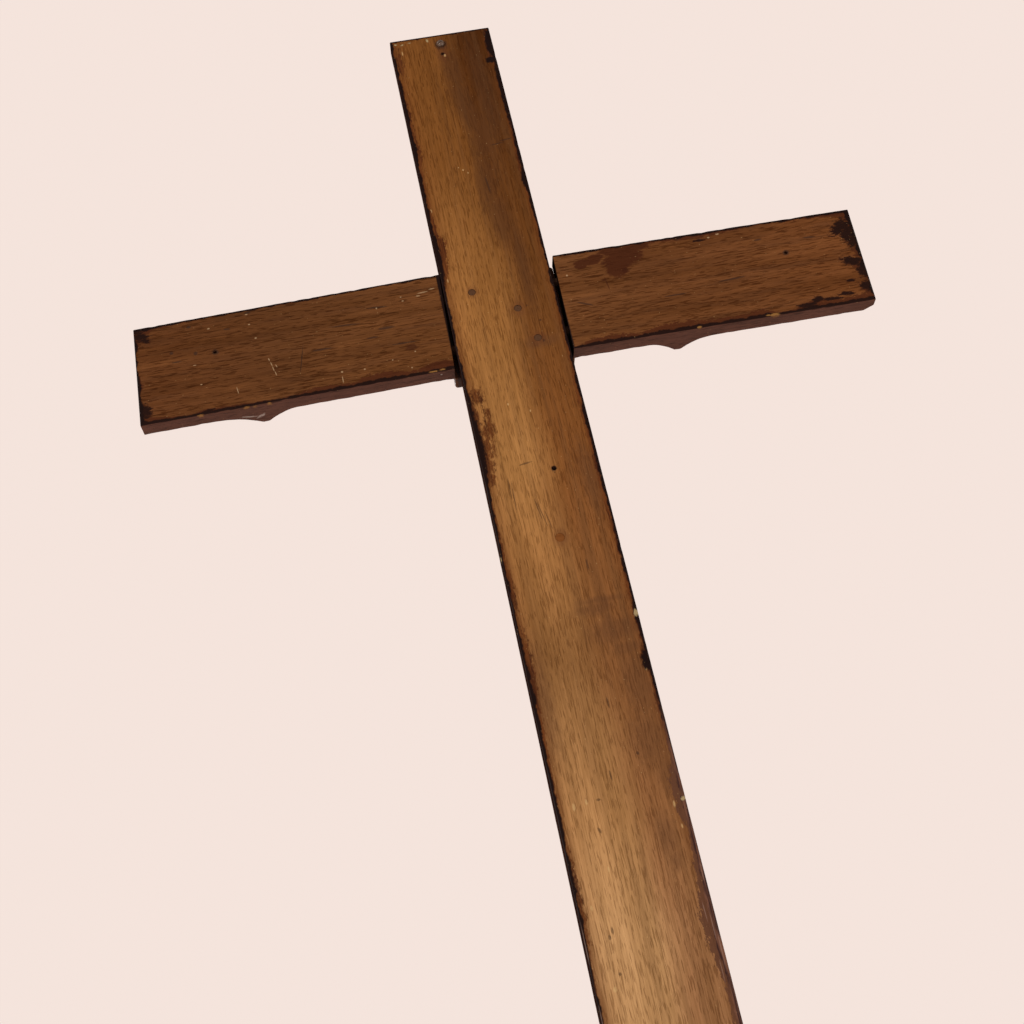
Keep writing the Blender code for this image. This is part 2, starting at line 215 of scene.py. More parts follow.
def chip_arrises(points, corners, count, seed, grain):
    """Pushes in small hollows at random places along the board's four long arrises."""
    rng = np.random.default_rng(seed)
    middle = points.reshape(-1, 3).mean(axis=0)
    for _ in range(count):
        end = rng.uniform(0.02, 0.98)
        edge = rng.integers(2)
        x, z = corners[0][edge] * (1 - end) + corners[1][edge] * end
        centre = np.array([x, rng.choice([back_y, front_y]), z])
        inward = middle - centre
        inward[grain] = 0
        inward[1] = np.sign(inward[1]) * 0.5 * np.linalg.norm(inward)
        inward /= np.linalg.norm(inward)
        size = rng.uniform(1.0, 2.8) * MM
        depth = rng.uniform(0.06, 0.20) * size
        points += inward * (depth * chip_depth(points, centre, size, grain))[..., None]
    return points


print("chip at its centre:", chip_depth(np.zeros(3), np.zeros(3), 1.0, 0))

# %% [markdown]
# ## The whole board
#
# The grid puts the section and the stations together. Each ring lies between the board's two long
# edges, and these may slope, so a tapered arm needs no other code than the straight upright. The
# radius of each arris wanders, as on wood that has been handled and knocked for long.

# %% A whole board
FLATNESS = 0.10 * MM
ARRIS = 0.75 * MM
THICK_STEPS = 7
CORNER_STEPS = 4
CHIPS = 34


def board_grid(corners, front, step, wide_steps, seed, grain):
    """A board's surface as a grid of points, (stations, section, xyz).

    corners[end][edge] is (x, z). A point lies on the straight blend between the ends and
    between the edges, set in by the larger of the corner radius and the ring's own inset.
    front(x, z) is the front's Y. The radius is ARRIS times 1 + noise along each corner.
    """
    across, through, off_across, off_through = section(wide_steps, THICK_STEPS, CORNER_STEPS)
    length = np.linalg.norm(corners[1].mean(axis=0) - corners[0].mean(axis=0))
    along, inset = stations(length, step, ARRIS, (front_y - back_y) / 2)
    along, inset = along[:, None], inset[:, None]
    t = along / length
    corner_id = 2 * np.round(across) + np.round(through)
    slow = soft_noise(along / 0.017 + 0 * across, corner_id * 9.3, seed)
    quick = soft_noise(along / 0.005 + 0 * across, corner_id * 5.1, seed + 1)
    radius = ARRIS * (1 + 0.40 * slow + 0.25 * quick)
    inner = np.maximum(radius, inset)
    roll = np.maximum(radius - inset, 0)
    edge_low = corners[0][0] * (1 - t[..., None]) + corners[1][0] * t[..., None]
    edge_high = corners[0][1] * (1 - t[..., None]) + corners[1][1] * t[..., None]
    width = np.linalg.norm(edge_high - edge_low, axis=-1)
    w = (inner + (width - 2 * inner) * across + roll * off_across) / width
    place = edge_low * (1 - w[..., None]) + edge_high * w[..., None]
    x, z = place[..., 0], place[..., 1]
    thickness = front(x, z) - back_y
    inner_y = np.minimum(inner, thickness / 2)
    y = back_y + inner_y + (thickness - 2 * inner_y) * through + roll * off_through
    waver = soft_noise(x / 0.031 + 7, z / 0.043 + 3, seed + 2)
    on_face = (np.abs(off_through) > 0.9) & (inset == 0)
    y = y + FLATNESS * waver * on_face * np.where(through > 0.5, 0, 1)
    points = np.stack([x, y, z], axis=-1)
    return chip_arrises(points, corners, CHIPS, seed + 3, grain)


print(f"arrises {ARRIS / MM:.2f} mm round, {CHIPS} chips on each board")

# %% [markdown]
# ## From a grid to a mesh
#
# A grid becomes a mesh by joining each ring to the next with four-sided faces. Where rings have
# shrunk to a point or a line they are welded, so the surface is closed. Then every face is
# turned outwards, which both the Boolean below and the bump in the finishes need.

# %% A mesh from a grid
WELD = 0.02 * MM
SLIVER = 0.005 * MM


def mesh_from_grid(name, points):
    """Joins a grid of rings into one closed mesh and turns its faces outwards."""
    rings, around = points.shape[:2]
    index = np.arange(rings * around).reshape(rings, around)
    after = np.roll(index, -1, axis=1)
    faces = np.stack([index[:-1], after[:-1], after[1:], index[1:]], axis=-1).reshape(-1, 4)
    mesh = bpy.data.meshes.new(name)
    mesh.from_pydata(points.reshape(-1, 3), [], faces)
    work = bmesh.new()
    work.from_mesh(mesh)
    bmesh.ops.remove_doubles(work, verts=work.verts, dist=WELD)
    bmesh.ops.dissolve_degenerate(work, edges=work.edges, dist=SLIVER)
    bmesh.ops.recalc_face_normals(work, faces=work.faces)
    work.to_mesh(mesh)
    work.free()
    mesh.shade_smooth()
    piece = bpy.data.objects.new(name, mesh)
    scene.collection.objects.link(piece)
    return piece


print(f"points closer than {WELD / MM:.2f} mm are welded")

# %% [markdown]
# ## The hewn front and its knots
#
# The front was worked with a gouge and is never quite flat, and on each arm a lopped branch
# stub stands out of the lower edge. The gouge marks are shallow scallops under the flat, the
# stub is two hollow flanks that meet in a blunt top, and a slanting cut takes off its head.

# %% The front's height
KNOT_HEIGHT = 13.0 * MM
KNOT_LAND = 12 * MM
KNOT_FADE = 46 * MM
KNOT_TOP = 5 * MM
LEFT_KNOT = (-203 * MM, 36 * MM, 26 * MM)    # middle of its top, run to the left, run to the right
RIGHT_KNOT = (135 * MM, 24 * MM, 26 * MM)
LEFT_LOWER_EDGE = crossing_z - 48 * MM       # under each knot
RIGHT_LOWER_EDGE = crossing_z - 47 * MM
CHAMFER_RUN = 11.7 * MM
CHAMFER_FALL = 8.8 * MM
SCOOP = 0.75 * MM
SCOOP_WIDTH = 13 * MM
SCOOP_LENGTH = 21 * MM
BLOCK_REACH = 52 * MM                        # the wood under the block was left flat


def gouged(x, z, seed, grain):
    """Shallow scoops under the front's plane, in staggered rows along the grain.

    A scoop's depth is 1 - (a^2 + b^2) / 2, where a and b go from -1 to 1 over its width and
    its length, so that neighbours meet in low ridges.
    """
    across, along = (x, z) if grain == 2 else (z, x)
    sway = soft_noise(x / 0.035, z / 0.035, seed)
    row = across / SCOOP_WIDTH + 0.4 * sway
    spot = along / SCOOP_LENGTH + 0.37 * np.floor(row) + 0.4 * sway
    off_row = 2 * (row - np.floor(row)) - 1
    off_spot = 2 * (spot - np.floor(spot)) - 1
    near_block = np.maximum(np.abs(x), np.abs(z - crossing_z))
    clear = np.clip((near_block - BLOCK_REACH) / (4 * MM), 0, 1)
    return front_y - SCOOP * (1 - (off_row ** 2 + off_spot ** 2) / 2) * clear


def knot_height(x, z, lower_edge, peak, run_left, run_right):
    """A knot's height: flanks (1 - d)^2, d the way out along each run, lopped on a slant."""
    left = np.clip((peak - KNOT_TOP / 2 - x) / run_left, 0, 1)
    right = np.clip((x - peak - KNOT_TOP / 2) / run_right, 0, 1)
    flank = (1 - left) ** 2 * (1 - right) ** 2
    slant = np.clip(1 - (z - lower_edge - KNOT_LAND) / KNOT_FADE, 0, 1)
    return KNOT_HEIGHT * np.minimum(flank, slant)


def upright_front(x, z):
    """The long board's front: scoops only."""
    return gouged(x, z, 21, 2)


def left_front(x, z):
    """The left arm's front: scoops, and a knot on the lower edge."""
    return gouged(x, z, 31, 0) + knot_height(x, z, LEFT_LOWER_EDGE, *LEFT_KNOT)


def right_front(x, z):
    """The right arm's front: scoops and a knot, and a straight fall over the last CHAMFER_RUN."""
    far = np.clip((x - (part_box("right_arm")[1].x - CHAMFER_RUN)) / CHAMFER_RUN, 0, 1)
    knot = knot_height(x, z, RIGHT_LOWER_EDGE, *RIGHT_KNOT)
    return gouged(x, z, 41, 0) + knot - CHAMFER_FALL * far


print("knot's full height:", round(float(knot_height(0.135, 0, 0, 0.135, 1, 1)) / MM, 1), "mm")

# %% [markdown]
# ## The three boards
#
# One long board and two short ones that butt against its edges make the cross. The upright is a
# plain rectangle. The arms taper and their ends aren't quite square, so their four corners are
# read from the flat back of the working model. The grain, 2 or 0, is the axis the board runs along.

# %% The three boards
FLAT_BACK = 1.2 * MM


def arm_corners(node, side):
    """An arm's four corners on the back, [inner, outer][lower, upper], each (x, z).

    A corner is the point of the back that goes furthest along its own diagonal.
    """
    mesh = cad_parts[node].data
    points = np.empty(3 * len(mesh.vertices), dtype=np.float32)
    mesh.vertices.foreach_get("co", points)
    points = points.reshape(-1, 3).astype(float)
    flat = points[points[:, 1] < back_y + FLAT_BACK][:, [0, 2]]
    pick = lambda out, up: flat[np.argmax(flat @ np.array([side * out, up]))]
    return np.array([[pick(-3, -1), pick(-3, 1)], [pick(3, -1), pick(3, 1)]])


upright_corners = np.array([[(-half_width, 0), (half_width, 0)],
                            [(-half_width, top_z), (half_width, top_z)]])
left_corners = arm_corners("left_arm", -1)
right_corners = arm_corners("right_arm", 1)
upright = mesh_from_grid("worn_upright", board_grid(
    upright_corners, upright_front, step=2.4 * MM, wide_steps=52, seed=100, grain=2))
left_arm = mesh_from_grid("worn_left_arm", board_grid(
    left_corners, left_front, step=1.3 * MM, wide_steps=66, seed=200, grain=0))
right_arm = mesh_from_grid("worn_right_arm", board_grid(
    right_corners, right_front, step=1.3 * MM, wide_steps=66, seed=300, grain=0))
for board in (upright, left_arm, right_arm):
    print(f"{board.name}: {len(board.data.polygons)} faces")

# %% [markdown]
# ## Holes
#
# The boards have a few small round holes. They are cut out of the finished surface with a
# Boolean and its round cutters, which then go away, because the grid is coarser than a hole.

# %% Cutting round holes
OVERRUN = 4 * MM
HOLE_SEGMENTS = 28
SHARP = math.radians(48)


def round_cutters(holes):
    """Cylinders along Y, one for each (x, z, diameter, depth), that start OVERRUN behind the back."""
    work = bmesh.new()
    for x, z, diameter, depth in holes:
        middle = Vector((x, back_y + depth / 2 - OVERRUN / 2, z))
        across = Matrix.Translation(middle) @ Matrix.Rotation(math.radians(90), 4, "X")
        bmesh.ops.create_cone(work, cap_ends=True, segments=HOLE_SEGMENTS, radius1=diameter / 2,
                              radius2=diameter / 2, depth=depth + OVERRUN, matrix=across)
    bmesh.ops.recalc_face_normals(work, faces=work.faces)
    mesh = bpy.data.meshes.new("cutter")
    work.to_mesh(mesh)
    work.free()
    cutter = bpy.data.objects.new("cutter", mesh)
    scene.collection.objects.link(cutter)
    return cutter


def cut_holes(piece, holes):
    """Cuts round holes, each (x, z, diameter, depth) in metres from the back."""
    cutter = round_cutters(holes)
    cut = piece.modifiers.new("holes", "BOOLEAN")
    cut.operation = "DIFFERENCE"
    cut.solver = "EXACT"
    cut.object = cutter
    bpy.context.view_layer.update()
    evaluated = piece.evaluated_get(bpy.context.evaluated_depsgraph_get())
    piece.data = bpy.data.meshes.new_from_object(evaluated)
    piece.modifiers.clear()
    piece.data.set_sharp_from_angle(angle=SHARP)
    bpy.data.objects.remove(cutter, do_unlink=True)
    print(f"{piece.name}: {len(piece.data.polygons)} faces, {len(holes)} holes")


print(f"a hole is cut with {HOLE_SEGMENTS} sides")

# %% [markdown]
# ## Where the holes are
#
# Each nail head and the plug sit in a shallow hole that is a hair wider than they are. A small
# hole just below the screw is blind, and the three that go right through once took the pins of
# a carved figure: one in the upright and one at each hand.

# %% The boards' holes
def round_of(node):
    """The middle (x, z) and the radius of a round piece, from its box."""
    low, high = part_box(node)
    return (low.x + high.x) / 2, (low.z + high.z) / 2, (high.x - low.x) / 2


THROUGH = 18 * MM
NAIL_NODES = ("block_nail_upper", "block_nail_middle", "block_nail_lower")
plug_x, plug_z, plug_radius = round_of("wood_plug")
upright_holes = [(x, z, 2 * radius + 0.15 * MM, 1.5 * MM)
                 for x, z, radius in map(round_of, NAIL_NODES)]
upright_holes.append((plug_x, plug_z, 2 * plug_radius + 0.1 * MM, 7.3 * MM))
upright_holes.append((-0.9 * MM, top_z - 22.8 * MM, 2.9 * MM, 9 * MM))
upright_holes.append((9.6 * MM, crossing_z - 148.3 * MM, 4.0 * MM, THROUGH))
cut_holes(upright, upright_holes)
cut_holes(left_arm, [(-233.7 * MM, crossing_z + 7.4 * MM, 3.0 * MM, THROUGH)])
cut_holes(right_arm, [(239.0 * MM, crossing_z + 10.7 * MM, 3.0 * MM, THROUGH)])

# %% [markdown]
# ## Small turned pieces
#
# Nails, screw and plug are turned about an axis through the boards: a radius and a depth for
# each step, carried round. A lathe would do the same with the real ones. What isn't round about
# them, the dents and the slot, comes afterwards, by moving points by a formula.

# %% Turned pieces
def turned(profile, x, z, around=48, steps=6):
    """A profile of (radius, y) points carried round the axis through (x, z), along Y.

    Each stretch between two profile points is divided evenly, and the first and last rings
    shrink to a point, which is welded.
    """
    profile = np.array(profile)
    fine = np.linspace(0, len(profile) - 1, (len(profile) - 1) * steps + 1)
    radius = np.interp(fine, np.arange(len(profile)), profile[:, 0])[:, None]
    depth = np.interp(fine, np.arange(len(profile)), profile[:, 1])[:, None]
    angle = np.linspace(0, 2 * math.pi, around + 1)[:-1][None, :]
    return np.stack([x + radius * np.cos(angle), depth + 0 * angle,
                     z + radius * np.sin(angle)], axis=-1)


print("rings and points of a cone:", turned([(0, 0), (1, 1)], 0, 0).shape[:2])

# %% [markdown]
# ## The three nails
#
# Iron nails were driven from the back into the block, until their flat heads lay just under the
# wood. The head is a thin disc with a rounded rim over a straight shank. Each gets dents and a
# slight squash of its own, since no two hammer blows fall alike.

# %% The nails
HEAD_SUNK = 0.22 * MM
HEAD_THICK = 0.9 * MM
SHANK = 1.35 * MM
nails = []
for number, node in enumerate(NAIL_NODES):
    x, z, radius = round_of(node)
    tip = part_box(node)[1].y
    head_y = back_y + HEAD_SUNK
    outline = [(0, head_y), (radius * 0.55, head_y), (radius * 0.92, head_y + 0.12 * MM),
               (radius, head_y + 0.5 * MM), (radius * 0.96, head_y + 0.85 * MM),
               (SHANK, head_y + 0.95 * MM), (SHANK, tip - 4 * MM), (0.4 * MM, tip), (0, tip)]
    points = turned(outline, x, z)
    on_head = points[..., 1] < head_y + HEAD_THICK
    dents = soft_noise(points[..., 0] / 0.0011, points[..., 2] / 0.0011, 60 + number)
    squash = soft_noise(points[..., 0] / 0.004, points[..., 2] / 0.004, 70 + number)
    points[..., 1] += on_head * (0.16 * dents + 0.12 * squash) * MM
    points[..., 0] += on_head * 0.10 * squash * MM
    nails.append((mesh_from_grid(node + "_worn", points), node))
print("nails:", len(nails))

# %% [markdown]
# ## The hanging screw
#
# A round-headed screw stands out of the back near the top, to hang the cross by. Its head is a
# quarter circle turned round. The slot is cut by pushing the points near one line across the
# head down to the slot's floor, which keeps the mesh in one piece.

# %% The hanging screw
SLOT_TURN = math.radians(28)
SLOT_HALF = 0.62 * MM
SLOT_WALL = 0.12 * MM
screw_x, screw_z, screw_radius = round_of("hanging_screw")
dome, tip = (corner.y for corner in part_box("hanging_screw"))
seat = back_y - 0.3 * MM
bow = np.linspace(0, math.pi / 2, 9)
outline = [(screw_radius * math.sin(a), seat + (dome - seat) * math.cos(a)) for a in bow]
outline += [(screw_radius * 0.98, seat + 0.1 * MM), (1.6 * MM, seat + 0.15 * MM),
            (1.5 * MM, tip - 3 * MM), (0, tip)]
points = turned(outline, screw_x, screw_z, around=72, steps=5)
from_slot = np.abs(-(points[..., 0] - screw_x) * math.sin(SLOT_TURN)
                   + (points[..., 2] - screw_z) * math.cos(SLOT_TURN))
in_slot = np.clip((SLOT_HALF - from_slot) / SLOT_WALL, 0, 1)
slot_floor = dome + 1.1 * MM
on_dome = points[..., 1] < slot_floor
points[..., 1] = np.where(on_dome, points[..., 1] * (1 - in_slot) + slot_floor * in_slot,
                          points[..., 1])
screw = mesh_from_grid("slotted_screw", points)
print(f"screw head {2 * screw_radius / MM:.1f} mm across")

# %% [markdown]
# ## The plug
#
# A hole below the crossing was filled with a round wooden plug. It was cut off flush and has
# sunk a little since, so its face lies just under the board's. The face is end grain and
# rough, which a fine noise gives it.

# %% The plug
plug_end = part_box("wood_plug")[1].y
outline = [(0, back_y + 0.25 * MM), (plug_radius * 0.9, back_y + 0.18 * MM),
           (plug_radius, back_y + 0.4 * MM), (plug_radius, plug_end), (0, plug_end)]
points = turned(outline, plug_x, plug_z)
rough = soft_noise(points[..., 0] / 0.0014, points[..., 2] / 0.0032, 81)
points[..., 1] += (points[..., 1] < back_y + 1 * MM) * 0.16 * rough * MM
plug = mesh_from_grid("sunk_plug", points)
print(f"plug {2 * plug_radius / MM:.1f} mm across")

# %% [markdown]
# ## The block on the crossing
#
# The block is a square of wood as thick as the boards, its corners eased by long handling. It
# is carried like a board: rounded squares that stack up through its thickness. A narrow groove
# follows the edge of its face.

# %% Crossing block
BACK_EASE = 0.9 * MM
FACE_EASE = 2.2 * MM
BLOCK_CORNER = 2.6 * MM
GROOVE_INSET = 9 * MM
GROOVE_HALF = 1.3 * MM
GROOVE_DEPTH = 1.1 * MM
FIELD_INSET = 11 * MM
FIELD_WEAR = 0.45 * MM


def block_grid():
    """Rounded squares stacked along Y, then drawn in over both faces until they close.

    A ring's straight sides stay inside its corner radius or its inset, whichever is larger.
    The face's Y falls by a groove whose depth is the bell (1 - d^2)^2 of the distance d from
    the groove's line.
    """
    width = block_high.x - block_low.x
    height = block_high.z - block_low.z
    ease, slight = FACE_EASE, BACK_EASE
    across, up, off_across, off_up = section(34, 34, 6)
    roll = np.linspace(0, math.pi / 2, 6)
    closing = np.linspace(height / 2, slight, 10)[:-1]
    opening = np.linspace(ease, height / 2, 60)[1:]
    sides = np.linspace(block_low.y + slight, block_high.y - ease, 8)[1:-1]
    inset = np.concatenate([closing, slight * (1 - np.sin(roll)), np.zeros(len(sides)),
                            ease * (1 - np.cos(roll)), opening])[:, None]
    y = np.concatenate([np.full(len(closing), block_low.y),
                        block_low.y + slight * (1 - np.cos(roll)),
                        sides, block_high.y - ease * (1 - np.sin(roll)),
                        np.full(len(opening), block_high.y)])[:, None]
    inner = np.maximum(BLOCK_CORNER, inset)
    corner = np.maximum(BLOCK_CORNER - inset, 0)
    x = block_low.x + inner + (width - 2 * inner) * across + corner * off_across
    inner_z = np.minimum(inner, height / 2)
    z = block_low.z + inner_z + (height - 2 * inner_z) * up + corner * off_up
    on_face = y > block_high.y - 0.01 * MM
    groove = (inset - GROOVE_INSET) / GROOVE_HALF
    scoops = np.abs(soft_noise(x / 0.012 + 9, z / 0.012, 91))
    y = y - on_face * GROOVE_DEPTH * np.clip(1 - groove ** 2, 0, 1) ** 2
    y = y - (on_face & (inset > FIELD_INSET)) * FIELD_WEAR * scoops
    return np.stack([x, y, z], axis=-1)


block = mesh_from_grid("eased_block", block_grid())
print("block faces:", len(block.data.polygons))

# %% [markdown]
# ## Calls for shader nodes
#
# A finish is a chain of nodes. These calls add a node or two each and plug in either a number or
# another node's output, so that a finish reads like a recipe.

# %% Calls that plug in, calculate and scatter
def feed(tree, socket, value):
    """Plugs another socket into this one, or sets it to a plain value."""
    if isinstance(value, bpy.types.NodeSocket):
        tree.links.new(value, socket)
    else:
        socket.default_value = value


def add(tree, kind, *inputs, **settings):
    """Adds a node with its settings, then feeds its inputs in their order."""
    node = tree.nodes.new("ShaderNode" + kind)
    for name, value in settings.items():
        setattr(node, name, value)
    for socket, value in zip(node.inputs, inputs):
        if value is not None:
            feed(tree, socket, value)
    return node


def calc(tree, operation, *values, clamp=False):
    """One sum on numbers, such as MULTIPLY_ADD: the first times the second plus the third."""
    return add(tree, "Math", *values, operation=operation, use_clamp=clamp).outputs[0]


def aim(tree, operation, *values):
    """One sum on places."""
    return add(tree, "VectorMath", *values, operation=operation).outputs[0]


def fade(tree, value, start, end, low=0.0, high=1.0):
    """Eases from low to high as the value goes from start to end."""
    return add(tree, "MapRange", value, start, end, low, high,
               interpolation_type="SMOOTHSTEP").outputs[0]


def noise(tree, place, scale=1.0, detail=2.0, rough=0.5, twist=0.0):
    """Smooth noise in 0..1, scale cells to the metre."""
    made = add(tree, "TexNoise")
    for name, value in [("Vector", place), ("Scale", scale), ("Detail", detail),
                        ("Roughness", rough), ("Distortion", twist)]:
        feed(tree, made.inputs[name], value)
    return made.outputs["Fac"]


def stretched(tree, place, cells, **settings):
    """Noise with its own number of cells to the metre along each axis."""
    return noise(tree, aim(tree, "MULTIPLY", place, cells), **settings)


def largest(tree, *masks):
    """The largest of several masks, taken two at a time."""
    whole = masks[0]
    for mask in masks[1:]:
        whole = calc(tree, "MAXIMUM", whole, mask)
    return whole


def facing(tree):
    """The X, Y and Z of the direction that the surface faces."""
    return add(tree, "SeparateXYZ", add(tree, "NewGeometry").outputs["Normal"]).outputs


calls = (feed, add, calc, aim, fade, noise, stretched, largest, facing)
print("calls:", ", ".join(call.__name__ for call in calls))

# %% [markdown]
# ## Calls for colour
#
# Colours are laid over each other as a painter would, each through a mask. A wash is a colour
# laid at less than full strength, and a ramp is a run of colours from one end to the other.

# %% Calls that colour
def paint(tree, mask, under, over, how="MIX"):
    """Lays one colour over another where the mask is 1."""
    made = add(tree, "Mix", data_type="RGBA", blend_type=how)
    feed(tree, made.inputs[0], mask)
    for socket, colour in ((made.inputs[6], under), (made.inputs[7], over)):
        feed(tree, socket, colour if isinstance(colour, bpy.types.NodeSocket) else (*colour, 1))
    return made.outputs[2]


def wash(tree, mask, strength, under, over):
    """Lays one colour over another where the mask is 1, at the given strength."""
    return paint(tree, calc(tree, "MULTIPLY", mask, strength), under, over)


def wash_over(tree, shader, mask, strength, colour):
    """Washes one more colour over the Base Color that the shader already has."""
    base = shader.inputs["Base Color"].links[0].from_socket
    feed(tree, shader.inputs["Base Color"], wash(tree, mask, strength, base, colour))


def ramp(tree, value, stops):
    """A run of colours, or of grey values, at their places from 0 to 1."""
    made = add(tree, "ValToRGB", value)
    elements = made.color_ramp.elements
    while len(elements) < len(stops):
        elements.new(0.5)
    for element, (place, colour) in zip(elements, sorted(stops)):
        element.position = place
        element.color = (*colour, 1) if isinstance(colour, tuple) else (colour,) * 3 + (1,)
    return made.outputs[0]


print("calls:", ", ".join(call.__name__ for call in (paint, wash, wash_over, ramp)))

# %% [markdown]
# ## Node groups
#
# What several finishes share is built once as a group with named sockets and then placed in each
# of them, so that a change to the grain changes it everywhere.

# %% Calls for groups
def new_group(name, inputs, outputs):
    """An empty group with named sockets, and its way in and out."""
    tree = bpy.data.node_groups.new(name, "ShaderNodeTree")
    for label, kind, value in inputs:
        socket = tree.interface.new_socket(label, in_out="INPUT",
                                           socket_type="NodeSocket" + kind)
        socket.default_value = value
    for label, kind in outputs:
        tree.interface.new_socket(label, in_out="OUTPUT", socket_type="NodeSocket" + kind)
    return tree, tree.nodes.new("NodeGroupInput").outputs, tree.nodes.new("NodeGroupOutput").inputs


def use(tree, group, **values):
    """Places a group and feeds its named inputs."""
    made = tree.nodes.new("ShaderNodeGroup")
    made.node_tree = group
    for name, value in values.items():
        feed(tree, made.inputs[name], value)
    return made.outputs


print("calls:", ", ".join(call.__name__ for call in (new_group, use)))

# %% [markdown]
# ## Oak grain
#
# Old oak shows three things at once: fine fibre, short dark open pores, and broad soft bands of
# figure. Each is noise stretched along the grain by a different amount. The group takes a place
# turned so that Z runs along the board, and gives the three masks and a height for bump.

# %% Grain group
LONG_FIBRE = (640, 640, 13)       # cells to the metre across the board, through it and along it
SHORT_FIBRE = (1400, 1400, 48)
FIGURE = (46, 46, 3.0)
PORES = (1250, 1250, 105)
PORE_BEDS = (120, 120, 9)
GRAIN, inside, out = new_group(
    "oak_grain", [("Place", "Vector", (0, 0, 0))],
    [("Fibre", "Float"), ("Pores", "Float"), ("Figure", "Float"), ("Height", "Float")])
spot = inside["Place"]
long_fibre = stretched(GRAIN, spot, LONG_FIBRE, detail=2, rough=0.5)
short_fibre = stretched(GRAIN, spot, SHORT_FIBRE, detail=2, rough=0.6)
fibre = calc(GRAIN, "MULTIPLY_ADD", short_fibre, 0.62, calc(GRAIN, "MULTIPLY", long_fibre, 0.38))
figure = stretched(GRAIN, spot, FIGURE, detail=3, rough=0.55, twist=0.5)
dashes = stretched(GRAIN, spot, PORES, detail=1, rough=0.4)
beds = stretched(GRAIN, spot, PORE_BEDS, detail=1)
limit = calc(GRAIN, "SUBTRACT", 0.70, calc(GRAIN, "MULTIPLY", beds, 0.22))
pores = fade(GRAIN, calc(GRAIN, "SUBTRACT", dashes, limit), -0.02, 0.08)
feed(GRAIN, out["Fibre"], fibre)
feed(GRAIN, out["Pores"], pores)
feed(GRAIN, out["Figure"], figure)
relief = calc(GRAIN, "MULTIPLY_ADD", fibre, 0.30, calc(GRAIN, "MULTIPLY", pores, -0.7))
feed(GRAIN, out["Height"], relief)
print("grain nodes:", len(GRAIN.nodes))

# %% [markdown]
# ## A mark at a place
#
# Stains, flecks, dents and cracks belong to this one object, so each has its own place, reach
# and turn. The group measures how far a point is from the mark's middle, in reaches, roughs the
# distance up with a shared noise, and gives 1 inside and 0 outside.

# %% Mark group
MARK, inside, out = new_group(
    "placed_mark",
    [("Place", "Vector", (0, 0, 0)), ("Centre", "Vector", (0, 0, 0)),
     ("Reach", "Vector", (1, 1, 1)), ("Turn", "Float", 0.0), ("Ragged", "Float", 0.0),
     ("Soft", "Float", 0.3)],
    [("Mask", "Float")])
turned_place = add(MARK, "VectorRotate", inside["Place"], inside["Centre"], (0, 1, 0),
                   inside["Turn"], rotation_type="AXIS_ANGLE").outputs[0]
offset = aim(MARK, "SUBTRACT", turned_place, inside["Centre"])
ratio = aim(MARK, "MULTIPLY", aim(MARK, "DIVIDE", offset, inside["Reach"]), (1, 0, 1))
away = add(MARK, "VectorMath", ratio, operation="LENGTH").outputs["Value"]
away = calc(MARK, "ADD", away, inside["Ragged"])
feed(MARK, out["Mask"], fade(MARK, away, calc(MARK, "ADD", 1.0, inside["Soft"]),
                             calc(MARK, "SUBTRACT", 1.0, inside["Soft"])))


def marks(tree, place, ragged, torn, entries, soft=0.3):
    """One mask for several marks, each (x, z, reach x, reach z, turn): mm from the crossing.

    A mark's outline is roughed by torn times the ragged noise. The turn is in degrees and leans
    the top of a tall mark to the left, as seen from the back. Masks are joined by the larger.
    """
    ragged = calc(tree, "MULTIPLY", ragged, torn)
    whole = None
    for x, z, reach_x, reach_z, turn in entries:
        centre = (x * MM, 0, crossing_z + z * MM)
        one = use(tree, MARK, Place=place, Centre=centre, Reach=(reach_x * MM, 1, reach_z * MM),
                  Turn=math.radians(turn), Ragged=ragged, Soft=soft)["Mask"]
        whole = one if whole is None else calc(tree, "MAXIMUM", whole, one)
    return whole


print("mark nodes:", len(MARK.nodes))

# %% [markdown]
# ## Varnish left along an arris
#
# The back was varnished only by accident: the brush ran round the edges, and wear took most of
# it off again. What is left is a ragged band whose width changes along the board, almost black
# at the arris and thinning to red-brown at its rim.

# %% Varnish band group
BAND, inside, out = new_group(
    "varnish_band",
    [("Distance", "Float", 0.0), ("Width", "Float", 0.001), ("Ragged", "Float", 0.0),
     ("Wave", "Float", 0.5)],
    [("Rim", "Float"), ("Core", "Float")])
torn = calc(BAND, "MULTIPLY_ADD", inside["Ragged"], 0.55, 1.0)
torn = calc(BAND, "MULTIPLY", calc(BAND, "MAXIMUM", torn, 0.15), inside["Width"])
uneven = calc(BAND, "MULTIPLY_ADD", inside["Ragged"], 0.0005, torn)
feed(BAND, out["Rim"], fade(BAND, calc(BAND, "SUBTRACT", uneven, inside["Distance"]),
                            -0.0004, 0.0007))
line = calc(BAND, "MULTIPLY_ADD", inside["Wave"], 0.0056, -0.0013)
deeper = calc(BAND, "ADD", line, calc(BAND, "MULTIPLY", uneven, 0.24))
feed(BAND, out["Core"], fade(BAND, calc(BAND, "SUBTRACT", deeper, inside["Distance"]),
                             -0.0006, 0.0006))
print("varnish band nodes:", len(BAND.nodes))

# %% [markdown]
# ## Dust and handling
#
# Nothing this old is clean. Thin dust lies in patches on whatever faces up, handling leaves
# cloudy darker patches, and a few pale specks are spattered everywhere. One group gives the
# three masks to every finish.

